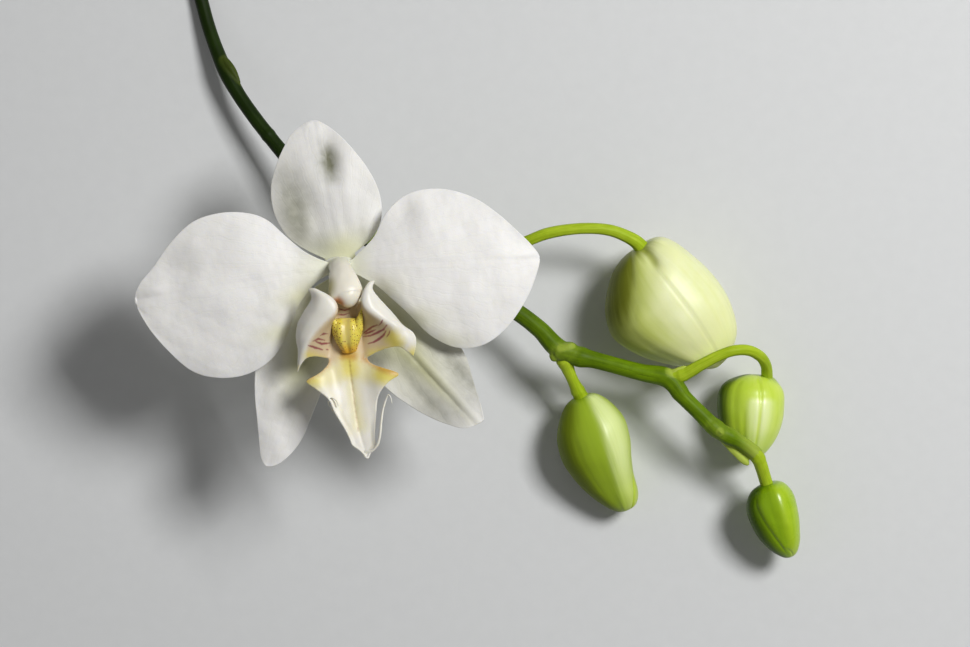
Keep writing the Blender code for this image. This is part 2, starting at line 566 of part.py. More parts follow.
def main():
    for piece in list(bpy.data.objects):
        bpy.data.objects.remove(piece)
    parts = bpy.data.collections.new("moth_orchid_flower")
    cutters = bpy.data.collections.new("cutters")
    bpy.context.scene.collection.children.link(parts)
    bpy.context.scene.collection.children.link(cutters)
    stem_clearances = build_stem(parts, cutters)
    bud_clearances = build_buds(parts, cutters)
    build_stalks(parts, stem_clearances, bud_clearances)
    for name, spec in BLADES.items():
        blade(name, spec, parts)
    build_lip(parts)
    build_column(parts)


main()
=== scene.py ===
"""Moth orchid flower, dressed: the white flower with its lip and column, the green stem, stalks and buds.

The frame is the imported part's own: metres, +Z up. Sizes below are in millimetres unless a name says
otherwise. The flower faces straight up and the camera looks straight down on it.
"""
import math

import bmesh
import bpy
import numpy as np
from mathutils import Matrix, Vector
from mathutils.kdtree import KDTree


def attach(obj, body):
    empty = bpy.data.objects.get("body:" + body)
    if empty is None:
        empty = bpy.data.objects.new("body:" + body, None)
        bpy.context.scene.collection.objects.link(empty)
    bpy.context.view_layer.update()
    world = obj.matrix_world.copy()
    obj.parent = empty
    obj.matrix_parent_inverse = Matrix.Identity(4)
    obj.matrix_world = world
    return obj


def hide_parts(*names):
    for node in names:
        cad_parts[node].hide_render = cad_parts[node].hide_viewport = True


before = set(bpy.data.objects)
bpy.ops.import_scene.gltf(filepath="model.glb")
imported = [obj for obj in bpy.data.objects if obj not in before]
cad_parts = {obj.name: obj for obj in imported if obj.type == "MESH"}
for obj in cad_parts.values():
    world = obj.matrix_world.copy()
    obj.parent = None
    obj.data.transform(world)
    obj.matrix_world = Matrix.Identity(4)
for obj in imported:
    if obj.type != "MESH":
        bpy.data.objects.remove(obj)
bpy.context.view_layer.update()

MM = 0.001
WELD = 0.0000005
UP = np.array((0.0, 0.0, 1.0))
RIGHT = np.array((1.0, 0.0, 0.0))

# Kinds of node that come up often, with their settings, as "add" takes them
MIX = ("ShaderNodeMix", {"data_type": "RGBA"})
RANGE = ("ShaderNodeMapRange", {})
FADE = ("ShaderNodeMapRange", {"interpolation_type": "SMOOTHSTEP"})
MULTIPLY = ("ShaderNodeMath", {"operation": "MULTIPLY"})
MULTIPLY_ADD = ("ShaderNodeMath", {"operation": "MULTIPLY_ADD"})
STORE = ("GeometryNodeStoreNamedAttribute", {"data_type": "FLOAT", "domain": "POINT"})
STORED = ("GeometryNodeInputNamedAttribute", {"data_type": "FLOAT"})

# The flower's middle, and how far from it each blade's own foot lies, as in the part's source
FLOWER = np.array((-27.0, -4.0, 0.0))
CLAW_START = 2.3
# How far a blade's claw is drawn in from its foot, and how much lower it ends there
CLAW_REACH = 2.2
CLAW_DROP = 0.7

# Each blade points at its angle (degrees) and falls off to its sides. Its rows are (place along the
# midrib, height, half-width left, half-width right), on the outline of the solid, with some feet and
# tips raised. "wave" is the margin's (height, number of waves, phase), "roll" the rolled margin's
# (side, middle, spread, width, depth) and "grid" how many (rings, columns) it is drawn with.
# "swells" are soft bumps or dimples. The two lists of colour patches hold grey glassy soaked tissue,
# which on the sepals also carries painted shade, and painted shade tinted yellow-green as by light
# through the petals, each as (x, y from the flower's middle, radius across, radius along, amount).
BLADES = {
    "dorsal_sepal": {
        "angle": 101.2, "fall": 1.1, "wave": (0.35, 1.5, 0.6), "roll": None, "grid": (120, 92),
        "rows": [
            (0.0, 36.0, 3.0, 3.2), (2.2, 36.0, 6.0, 7.0), (5.0, 36.1, 8.9, 9.4),
            (8.6, 36.3, 10.7, 10.3), (12.5, 36.5, 11.3, 10.1), (16.6, 36.4, 10.7, 8.8),
            (20.4, 35.8, 8.9, 6.9), (23.6, 35.1, 6.8, 4.9), (26.4, 34.2, 4.2, 2.5),
            (27.9, 33.5, 0.0, 0.0),
        ],
        "swells": [
            (-2.6, 21.5, 1.9, 3.6, -0.75), (-7.2, 19.0, 2.2, 6.0, 0.3), (1.5, 13.0, 1.6, 8.0, 0.3),
            (-5.0, 9.0, 1.5, 7.0, -0.3), (-0.6, 9.0, 1.3, 7.0, 0.25), (-9.0, 12.0, 1.0, 4.0, -0.15),
        ],
        "soaked_and_shade": [
            (-2.6, 21.8, 2.2, 3.2, 0.95), (-2.3, 18.6, 1.6, 2.2, 0.4), (-10.5, 14.0, 3.2, 9.0, 0.5),
            (-8.4, 8.0, 3.2, 5.0, 0.26), (-3.6, 4.6, 2.2, 3.0, 0.34), (-6.4, 14.5, 2.4, 6.0, 0.2),
            (4.6, 6.6, 1.3, 4.6, 0.3), (5.5, 14.0, 4.0, 7.0, 0.1), (-2.0, 16.0, 12.0, 12.0, 0.1),
        ],
        "painted_green_shade": [(0.5, 3.6, 5.0, 3.6, 0.75), (-9.0, 9.5, 3.0, 7.0, 0.3)],
    },
    "left_sepal": {
        "angle": -110.8, "fall": 1.2, "wave": (0.3, 2.0, 0.0), "roll": None, "grid": (120, 84),
        "rows": [
            (0.0, 33.5, 1.5, 1.1), (3.6, 34.0, 2.4, 3.9), (7.8, 34.5, 3.0, 6.7),
            (12.5, 34.7, 3.9, 8.5), (17.6, 34.6, 4.8, 9.4), (22.6, 34.3, 5.0, 9.2),
            (27.8, 33.9, 4.9, 7.4), (32.6, 33.4, 4.7, 5.1), (36.4, 32.8, 3.7, 3.3),
            (39.4, 32.2, 2.0, 1.8), (40.7, 31.9, 0.0, 0.0),
        ],
        "swells": [
            (-14.0, -26.0, 2.2, 8.0, 0.4), (-9.5, -24.0, 1.4, 8.0, -0.25), (-12.0, -35.0, 1.5, 4.0, -0.2),
        ],
        "soaked_and_shade": [(-8.0, -20.0, 2.2, 6.0, 0.14), (-5.0, -12.0, 3.0, 6.0, 0.18)],
        "painted_green_shade": [(-4.0, -10.0, 6.0, 11.0, 0.95), (-8.0, -20.0, 4.0, 7.0, 0.6)],
    },
    "right_sepal": {
        "angle": -47.4, "fall": 1.0, "wave": (0.3, 2.0, 1.6), "roll": None, "grid": (120, 88),
        "rows": [
            (0.0, 33.5, 1.2, 1.3), (3.6, 34.0, 2.4, 3.6), (7.8, 34.5, 3.9, 6.2),
            (12.5, 34.8, 5.4, 8.1), (17.6, 34.9, 6.5, 9.7), (22.6, 34.7, 7.0, 9.8),
            (27.6, 34.2, 6.3, 8.8), (32.0, 33.4, 4.2, 7.4), (35.6, 32.5, 2.5, 5.7),
            (38.4, 31.7, 1.1, 3.7), (39.7, 31.3, 0.0, 0.0),
        ],
        "swells": [
            (20.0, -23.0, 1.6, 9.0, 0.35), (15.5, -25.0, 1.3, 8.0, -0.3), (24.0, -21.5, 1.3, 8.0, -0.25),
            (17.5, -21.5, 0.5, 14.0, -0.3),
        ],
        "soaked_and_shade": [
            (13.5, -19.5, 3.0, 7.0, 0.3), (20.5, -29.5, 4.5, 5.0, 0.34), (22.0, -21.0, 1.6, 9.0, 0.3),
            (16.5, -26.5, 2.0, 5.5, 0.34), (8.0, -12.0, 6.0, 8.0, 0.3), (18.6, -22.5, 0.8, 10.0, 0.3),
            (24.5, -20.5, 2.6, 8.0, 0.62),
        ],
        "painted_green_shade": [(9.0, -12.0, 7.0, 10.0, 1.0), (17.5, -21.5, 1.4, 12.0, 0.5), (18.0, -22.0, 7.0, 9.0, 0.3)],
    },
    "left_petal": {
        "angle": -170.9, "fall": 0.75, "wave": (0.45, 2.0, 0.4), "roll": (1, 0.36, 0.2, 4.0, 1.7),
        "grid": (156, 128),
        "rows": [
            (0.0, 37.8, 1.0, 1.3), (2.4, 38.5, 1.9, 2.7), (4.8, 39.2, 3.6, 4.6),
            (7.6, 39.8, 6.5, 7.8), (10.8, 40.3, 12.0, 11.6), (14.6, 40.7, 16.1, 13.6),
            (19.8, 40.9, 18.2, 14.4), (25.4, 40.7, 18.0, 13.5), (30.4, 40.1, 15.8, 10.1),
            (34.6, 39.6, 10.8, 5.9), (37.7, 39.1, 5.4, 3.1), (39.3, 38.8, 0.0, 0.0),
        ],
        "swells": [
            (-22.0, 4.0, 4.5, 6.0, 0.25), (-27.0, -12.0, 3.5, 8.0, -0.25), (-17.0, -8.0, 3.0, 7.0, 0.2),
            (-38.0, -4.6, 1.2, 3.2, 0.3), (-38.6, -7.6, 1.0, 3.0, 0.25), (-33.0, 0.5, 2.6, 4.0, -0.2),
        ],
        "soaked_and_shade": [(-29.0, 1.0, 5.0, 5.0, 0.08), (-24.0, 6.0, 5.0, 5.0, 0.06)],
        "painted_green_shade": [(-7.0, -6.0, 2.4, 5.5, 0.7), (-10.5, -13.0, 2.2, 6.0, 0.65), (-7.0, -1.0, 4.0, 4.0, 0.3)],
    },
    "right_petal": {
        "angle": 2.6, "fall": 0.75, "wave": (0.45, 2.0, 2.2), "roll": (-1, 0.4, 0.22, 3.2, 0.9),
        "grid": (156, 128),
        "rows": [
            (0.0, 37.9, 1.4, 1.2), (2.4, 38.7, 3.5, 2.6), (4.8, 39.3, 6.0, 4.1),
            (7.5, 39.85, 10.6, 6.6), (10.9, 40.3, 13.5, 10.0), (15.0, 40.7, 14.7, 14.4),
            (20.0, 40.9, 14.4, 17.1), (25.2, 40.7, 12.4, 16.9), (29.6, 40.1, 9.1, 14.2),
            (33.2, 39.3, 5.6, 10.0), (36.0, 38.6, 2.6, 5.0), (37.4, 38.2, 0.0, 0.0),
        ],
        "swells": [
            (13.0, 10.5, 2.0, 2.4, -0.35), (17.0, 9.0, 4.5, 2.2, 0.3), (24.0, 7.5, 4.0, 2.4, -0.25),
            (20.0, -3.0, 5.5, 3.0, 0.25), (14.0, -6.5, 3.0, 4.0, -0.06), (36.5, 2.4, 1.1, 3.0, 0.25),
            (27.0, -7.0, 3.0, 5.0, 0.2), (9.0, 4.5, 1.5, 5.0, -0.08), (12.0, -11.5, 3.5, 5.0, 0.4),
        ],
        "soaked_and_shade": [(13.0, 10.0, 2.6, 3.0, 0.1)],
        "painted_green_shade": [(8.0, -4.5, 2.6, 5.0, 0.4), (14.5, -10.5, 2.6, 5.5, 0.55), (20.5, -15.0, 2.2, 5.0, 0.45)],
    },
}

# Thickness of a petal and of the lip at the middle and at the margin, and how wide the margin thins
PETAL_WALL = (0.72, 0.34, 6.0)
LIP_WALL = (0.62, 0.36, 2.0)

# The lip's middle lobe, side lobes, callus, horns and tendrils, from the flower's middle. Rows of the
# middle lobe are (x, y, height, half-width left, half-width right), rows of a tendril (x, y, height,
# radius), and rows and creases of the callus, the column and the cap are like the buds' below
LIP_ROWS = [
    (0.8, -1.5, 38.35, 1.5, 1.5), (1.0, -4.2, 40.6, 1.8, 1.9), (1.2, -6.8, 42.3, 2.6, 2.7),
    (1.4, -10.4, 42.5, 3.2, 3.2), (1.5, -14.2, 42.5, 3.6, 3.5), (1.6, -17.2, 42.7, 4.1, 3.7),
    (1.8, -19.2, 43.0, 4.1, 4.6), (2.1, -21.1, 43.1, 6.1, 9.6), (2.4, -22.7, 43.1, 8.9, 7.6),
    (2.7, -24.3, 43.2, 7.3, 5.8), (3.0, -26.3, 43.4, 5.2, 4.6), (3.4, -29.2, 43.8, 4.2, 4.0),
    (3.9, -32.1, 44.4, 2.9, 3.3), (4.5, -34.2, 44.9, 2.4, 2.7), (4.8, -35.3, 45.2, 2.2, 2.5),
    (5.2, -36.2, 45.5, 1.3, 1.4), (5.5, -37.0, 45.8, 0.7, 0.7), (5.6, -37.9, 46.3, 0.0, 0.0),
]
LIP_FALL = 1.6
# What a layer of colour says (mm) where its zone is far away
FAR_OUTSIDE = -5.0
# Each row of a side lobe runs from its root beside the callus, up the inner face, over the crest, and
# down to the free margin. The rows follow the solid's, with more of them for the curled upper tips.
LEFT_LOBE = [
    [(-1.0, -8.6, 42.6), (-1.5, -7.3, 44.8), (-3.6, -5.2, 46.9), (-4.9, -4.3, 47.3), (-6.0, -4.4, 46.9)],
    [(-1.2, -9.6, 42.5), (-0.9, -8.7, 45.2), (-0.9, -6.9, 47.8), (-3.2, -6.1, 48.3), (-5.4, -6.4, 46.6)],
    [(-1.3, -11.0, 42.5), (-1.2, -10.4, 45.3), (-0.6, -9.0, 48.2), (-4.0, -8.8, 48.1), (-7.0, -9.0, 45.4)],
    [(-1.5, -12.6, 42.5), (-2.0, -12.0, 45.3), (-2.8, -11.2, 48.1), (-5.8, -11.2, 47.4), (-8.3, -11.6, 44.7)],
    [(-1.7, -14.4, 42.5), (-3.2, -14.2, 45.0), (-4.9, -13.6, 47.4), (-7.0, -13.9, 46.7), (-8.5, -14.4, 44.7)],
    [(-2.0, -16.4, 42.6), (-4.2, -16.2, 44.5), (-6.2, -16.0, 46.5), (-7.4, -16.4, 46.0), (-8.1, -16.8, 44.7)],
    [(-2.4, -18.3, 42.8), (-4.6, -17.9, 44.0), (-6.4, -18.2, 45.4), (-7.6, -19.7, 45.1), (-8.3, -21.2, 44.3)],
]
RIGHT_LOBE = [
    [(3.2, -8.2, 42.5), (4.9, -5.6, 44.8), (5.8, -3.4, 46.6), (6.5, -2.9, 46.9), (7.2, -2.8, 46.7)],
    [(3.6, -8.8, 42.5), (5.0, -6.7, 45.0), (5.2, -4.9, 47.3), (5.9, -4.4, 47.6), (6.7, -4.4, 46.8)],
    [(3.9, -9.6, 42.5), (4.9, -8.2, 45.2), (4.7, -6.5, 47.9), (6.0, -5.8, 48.2), (7.6, -5.9, 46.3)],
    [(4.1, -10.9, 42.5), (5.0, -9.7, 45.4), (5.4, -8.3, 48.3), (7.2, -7.6, 47.9), (9.2, -7.7, 45.4)],
    [(4.3, -12.5, 42.5), (6.2, -11.2, 45.2), (7.6, -10.0, 48.0), (9.2, -9.4, 47.3), (10.9, -9.6, 45.0)],
    [(4.5, -14.2, 42.5), (7.6, -12.9, 44.9), (10.0, -11.7, 47.1), (11.4, -11.3, 46.6), (12.6, -11.7, 44.8)],
    [(4.6, -15.8, 42.5), (8.3, -14.4, 44.6), (11.0, -13.3, 46.5), (12.9, -12.9, 46.2), (14.7, -13.2, 45.0)],
    [(4.8, -17.1, 42.6), (8.5, -15.6, 44.4), (11.5, -14.9, 46.0), (13.5, -14.9, 45.9), (15.3, -15.0, 45.0)],
    [(5.0, -18.3, 42.8), (8.4, -16.6, 44.2), (11.6, -15.9, 45.5), (13.4, -16.9, 45.1), (14.7, -17.9, 44.3)],
]
CALLUS_LINE = [(1.3, -10.2, 43.7), (1.4, -13.4, 43.8), (1.9, -17.2, 43.2)]
CALLUS_ROWS = [
    (0.0, 0.0, 0.0, 0.0, 0.0), (0.03, 2.7, 2.4, 1.2, 0.8), (0.2, 2.8, 2.9, 2.0, 1.4),
    (0.42, 2.8, 3.3, 2.2, 1.5), (0.66, 2.3, 2.7, 2.1, 1.3), (0.86, 1.6, 1.9, 1.5, 1.0),
    (0.97, 1.2, 1.4, 1.0, 0.8), (1.0, 0.0, 0.0, 0.0, 0.0),
]
CALLUS_CREASES = [
    (90, 90, -0.2, 1.1, 16, -0.35), (62, 66, 0.0, 0.95, 16, 0.2), (118, 114, 0.0, 0.95, 16, 0.2),
]
CALLUS_MIDDLE = 1.5
# Each horn's foot, tip and radius
CALLUS_HORNS = [((-0.4, -12.2, 44.4), (-1.7, -9.5, 45.8), 1.0), ((3.5, -12.8, 44.2), (4.7, -8.0, 46.4), 1.1)]
TENDRILS = [
    [
        (5.3, -36.6, 45.7, 0.42), (6.6, -36.3, 46.1, 0.3), (7.7, -35.0, 46.7, 0.26),
        (8.2, -33.0, 47.0, 0.23), (8.4, -30.6, 46.7, 0.21), (8.7, -28.4, 46.4, 0.19),
        (9.2, -26.6, 46.3, 0.17), (9.7, -25.4, 46.7, 0.15), (10.2, -25.7, 47.0, 0.13),
        (10.5, -27.0, 46.9, 0.1),
    ],
    [
        (4.4, -36.2, 45.2, 0.4), (2.6, -34.6, 43.6, 0.24), (1.3, -32.4, 42.7, 0.2),
        (0.2, -30.6, 42.4, 0.18), (-0.9, -29.2, 42.6, 0.16), (-1.7, -28.0, 43.2, 0.15),
        (-2.2, -26.9, 44.1, 0.14), (-1.6, -26.0, 45.0, 0.12), (-0.6, -26.4, 45.4, 0.11),
        (-0.1, -27.6, 45.3, 0.1),
    ],
]

# Where the lip is coloured: routes of (x, y) from the flower's middle, with a half-width. A stripe is
# widest in its middle and runs out at both ends.
CRIMSON_STRIPES = [
    ([(4.7, -13.3), (5.6, -12.6), (6.5, -12.0), (7.6, -11.6)], 0.2),
    ([(5.0, -13.4), (6.1, -13.0), (7.3, -12.5)], 0.2),
    ([(4.7, -13.9), (6.2, -13.7), (7.6, -13.1), (8.8, -12.5), (9.5, -11.6)], 0.22),
    ([(5.7, -15.3), (7.0, -14.9), (8.1, -14.2), (8.9, -13.5), (9.3, -12.8)], 0.24),
    ([(7.9, -11.7), (8.4, -11.2), (8.7, -10.6)], 0.13), ([(9.4, -14.0), (9.9, -13.3), (10.1, -12.6)], 0.12),
    ([(-5.9, -15.6), (-4.8, -16.0), (-3.3, -16.5)], 0.24),
    ([(-5.0, -14.8), (-4.0, -14.3), (-2.9, -14.6)], 0.2),
    ([(-4.6, -14.8), (-3.5, -15.3), (-2.0, -15.2)], 0.23),
    ([(-3.6, -13.7), (-2.9, -13.3), (-2.2, -13.3)], 0.17), ([(-2.7, -16.4), (-2.2, -16.5)], 0.12),
    ([(-0.1, -8.4), (1.0, -8.7), (2.2, -8.3)], 0.16), ([(-0.3, -9.5), (0.8, -9.6), (1.9, -9.2)], 0.14),
    ([(0.2, -10.2), (0.9, -10.4), (1.7, -10.1)], 0.13),
]
YELLOW_ZONES = [
    ([(10.6, -14.2), (11.4, -15.2)], 1.5), ([(6.2, -17.4), (11.2, -16.1)], 0.6),
    ([(14.8, -17.9), (14.6, -17.3)], 1.2), ([(-5.9, -17.6), (-3.6, -18.6)], 0.6),
    ([(-8.4, -21.4), (-8.0, -20.6)], 0.7), ([(-6.6, -22.8), (-4.2, -22.6)], 0.7),
    ([(11.6, -21.2), (8.6, -21.2)], 1.8), ([(1.8, -17.5), (2.1, -20.5)], 1.5),
]
# The soft pale yellow that fills the middle lobe's trough
IVORY_ZONES = [
    ([(1.9, -19.0), (2.4, -23.0), (3.0, -27.0), (3.8, -31.5)], 1.2),
    ([(-5.0, -22.4), (-1.5, -21.4), (1.8, -20.5), (5.5, -20.8), (9.5, -21.4)], 2.2),
    ([(-2.0, -24.4), (0.2, -28.0), (2.4, -33.0)], -0.2),
]
ORANGE_ZONES = [
    ([(0.8, -17.6), (2.7, -17.8)], 0.7), ([(-1.9, -18.7), (-2.3, -19.8), (-3.9, -21.0), (-6.1, -22.4)], 0.15),
    ([(5.0, -18.2), (6.3, -18.8), (8.5, -20.3), (11.2, -21.0)], 0.6),
]
BROWN_ZONES = [([(2.0, -18.6), (2.75, -25.5), (3.75, -32.5)], 0.03)]

# The column and its cap: they broaden from a narrow foot, which runs into the claws, to a round front
COLUMN_LINE = [
    (-0.2, 0.1, 35.8), (-0.2, 0.0, 39.2), (0.15, -1.0, 42.6), (0.8, -3.0, 45.0), (1.3, -5.0, 46.1),
    (2.0, -8.0, 46.7),
]
COLUMN_ROWS = [
    (0.0, 0.0, 0.0, 0.0, 0.0), (0.0, 3.5, 3.5, 2.0, 2.4), (0.05, 2.9, 2.9, 1.85, 2.2),
    (0.11, 2.4, 2.4, 1.75, 2.0), (0.25, 2.05, 2.1, 1.75, 1.8), (0.4, 2.2, 2.5, 1.9, 1.8),
    (0.6, 2.9, 3.05, 2.2, 1.8), (0.8, 3.4, 3.4, 2.4, 1.8), (0.865, 3.2, 3.0, 2.2, 1.6),
    (0.915, 2.1, 2.4, 1.8, 1.3), (0.965, 1.1, 1.5, 1.2, 0.9), (0.99, 0.6, 0.8, 0.6, 0.5),
    (1.0, 0.0, 0.0, 0.0, 0.0),
]
COLUMN_CREASES = [(126, 130, 0.3, 1.0, 34, -0.16)]
CAP_LINE = [(1.35, -4.3, 45.3), (1.75, -6.0, 46.3), (2.0, -8.15, 46.6)]
CAP_ROWS = [
    (0.0, 0.0, 0.0, 0.0, 0.0), (0.02, 2.3, 2.4, 1.5, 1.5), (0.2, 3.0, 2.9, 2.25, 1.7),
    (0.45, 2.95, 2.85, 2.4, 1.7), (0.66, 2.15, 2.35, 2.05, 1.5), (0.86, 1.35, 1.4, 1.35, 1.1),
    (0.965, 0.72, 0.72, 0.6, 0.6), (1.0, 0.0, 0.0, 0.0, 0.0),
]
CAP_CREASES = [(200, 210, 0.2, 0.9, 20, 0.15)]

# The stem and the stalks: rows of (x, y, height, radius)
STEM = [
    (-60.6, 64.4, 1.45, 1.6), (-60.1, 58.9, 1.45, 1.5), (-58.7, 53.6, 1.8, 1.45),
    (-57.1, 48.0, 2.7, 1.45), (-55.1, 42.5, 3.9, 1.5), (-53.0, 37.8, 5.0, 1.65),
    (-50.2, 32.9, 6.1, 1.5), (-46.5, 27.7, 7.3, 1.5), (-42.9, 23.2, 8.3, 1.5),
    (-39.9, 19.5, 9.2, 1.55), (-34.6, 12.4, 10.6, 1.65), (-27.5, 6.0, 12.0, 1.75),
    (-19.1, 0.7, 13.0, 2.1), (-9.7, -3.7, 13.6, 1.8), (-3.4, -6.6, 13.9, 2.0),
    (2.8, -9.8, 14.1, 1.8), (8.5, -12.9, 14.2, 1.8), (13.2, -16.5, 14.3, 1.85),
    (17.9, -21.0, 14.5, 2.1), (25.9, -23.2, 14.9, 1.75), (34.1, -25.4, 15.3, 1.8),
    (39.9, -26.7, 15.6, 2.1), (43.0, -30.4, 15.8, 1.7), (46.5, -33.9, 15.9, 1.65),
    (50.0, -37.3, 15.9, 1.8), (53.5, -39.2, 15.4, 1.55), (56.0, -40.7, 14.9, 1.45),
    (58.6, -42.8, 14.2, 1.3), (59.1, -43.7, 13.8, 0.9),
]
STALKS = {
    "bud_stalk_1": [
        (-3.4, -6.6, 13.9, 1.3), (1.8, -2.3, 14.6, 1.25), (6.2, 0.0, 15.4, 1.2),
        (10.5, 1.8, 16.4, 1.15), (15.2, 3.5, 17.2, 1.2), (21.6, 4.4, 17.4, 1.15),
        (27.6, 4.1, 16.8, 1.2), (32.2, 2.4, 15.6, 1.35), (34.6, 0.5, 14.2, 1.6),
        (35.7, -1.2, 11.8, 1.8),
    ],
    "bud_stalk_2": [
        (17.9, -21.0, 14.5, 1.8), (18.8, -23.9, 13.6, 1.5), (20.0, -26.8, 12.2, 1.2),
        (21.5, -29.8, 10.2, 1.45), (22.7, -31.9, 8.8, 1.7),
    ],
    "bud_stalk_3": [
        (39.7, -26.4, 15.6, 1.6), (43.2, -25.8, 16.4, 1.4), (46.8, -23.8, 17.6, 1.2),
        (50.2, -22.0, 18.4, 1.12), (53.5, -20.9, 18.3, 1.12), (56.6, -20.9, 17.2, 1.12),
        (59.2, -22.2, 15.0, 1.12), (60.7, -24.1, 12.0, 1.15), (61.2, -26.1, 9.2, 1.2),
        (61.4, -27.9, 7.4, 1.2),
    ],
    "bud_stalk_4": [
        (57.8, -42.0, 14.5, 1.15), (58.6, -42.9, 14.2, 1.4), (59.4, -44.6, 13.4, 1.4),
        (60.1, -46.5, 12.2, 1.35), (60.9, -48.7, 10.8, 1.35), (61.7, -50.9, 9.6, 1.35),
    ],
    "flower_stalk": [
        (-19.1, 0.7, 13.0, 1.9), (-21.3, 2.5, 16.0, 1.7), (-23.8, 2.8, 20.0, 1.6),
        (-26.0, 1.0, 25.0, 1.6), (-26.9, -2.4, 30.0, 1.8), (-27.0, -4.0, 33.2, 2.2),
        (-27.0, -4.2, 35.4, 1.8),
    ],
}
# Raised rings round the stem and stalks at their joints: (mm from the start, height, half-length)
COLLARS = {
    "spike": [(44.6, 0.12, 0.5), (85.0, 0.1, 0.6), (127.2, 0.3, 1.3), (149.8, 0.14, 0.7), (163.9, 0.3, 1.2)],
    "bud_stalk_1": [(2.6, 0.28, 0.4)],
    "bud_stalk_2": [(2.3, 0.3, 0.6), (3.2, 0.12, 0.3), (10.0, 0.14, 0.6)],
    "bud_stalk_3": [(2.9, 0.2, 0.5), (3.7, 0.1, 0.3)],
    "bud_stalk_4": [(2.0, 0.12, 0.5)],
    "flower_stalk": [(2.6, 0.25, 0.5)],
}

# Scales and knobs on the stem: foot, tip, half-width, half-thickness, how blunt the tip is, how pale
SCALES = [
    ((-53.7, 40.9, 5.3), (-49.9, 35.5, 6.3), 1.0, 0.9, 0.45, 0.1),
    ((-20.3, 1.4, 11.4), (-16.4, -3.0, 12.6), 1.6, 0.8, 0.5, 0.0),
    ((-4.8, -7.2, 12.6), (-1.2, -10.6, 13.4), 1.5, 0.8, 0.5, 0.0),
    ((17.8, -19.9, 15.4), (15.7, -23.1, 14.8), 1.2, 1.1, 0.85, 0.4),
    ((16.0, -21.3, 14.6), (21.4, -21.0, 14.6), 2.1, 2.5, 0.8, 0.2),
    ((17.2, -20.6, 16.4), (20.4, -19.6, 16.2), 0.5, 0.5, 0.8, 0.6),
    ((39.3, -26.3, 16.2), (43.8, -24.1, 17.1), 0.7, 0.6, 0.6, 1.0),
    ((48.2, -35.8, 15.7), (51.9, -38.7, 15.7), 1.9, 2.3, 0.8, 0.2),
    ((50.3, -37.6, 17.7), (51.0, -38.1, 17.9), 0.45, 0.4, 0.9, 0.45),
    ((51.8, -36.8, 15.7), (59.7, -41.9, 14.6), 0.5, 0.7, 0.8, 0.5),
    ((50.9, -38.9, 14.8), (57.0, -44.9, 13.4), 0.9, 0.6, 0.95, 1.0),
    ((56.6, -41.0, 14.5), (60.2, -45.8, 13.2), 1.2, 0.9, 0.8, 0.6),
]
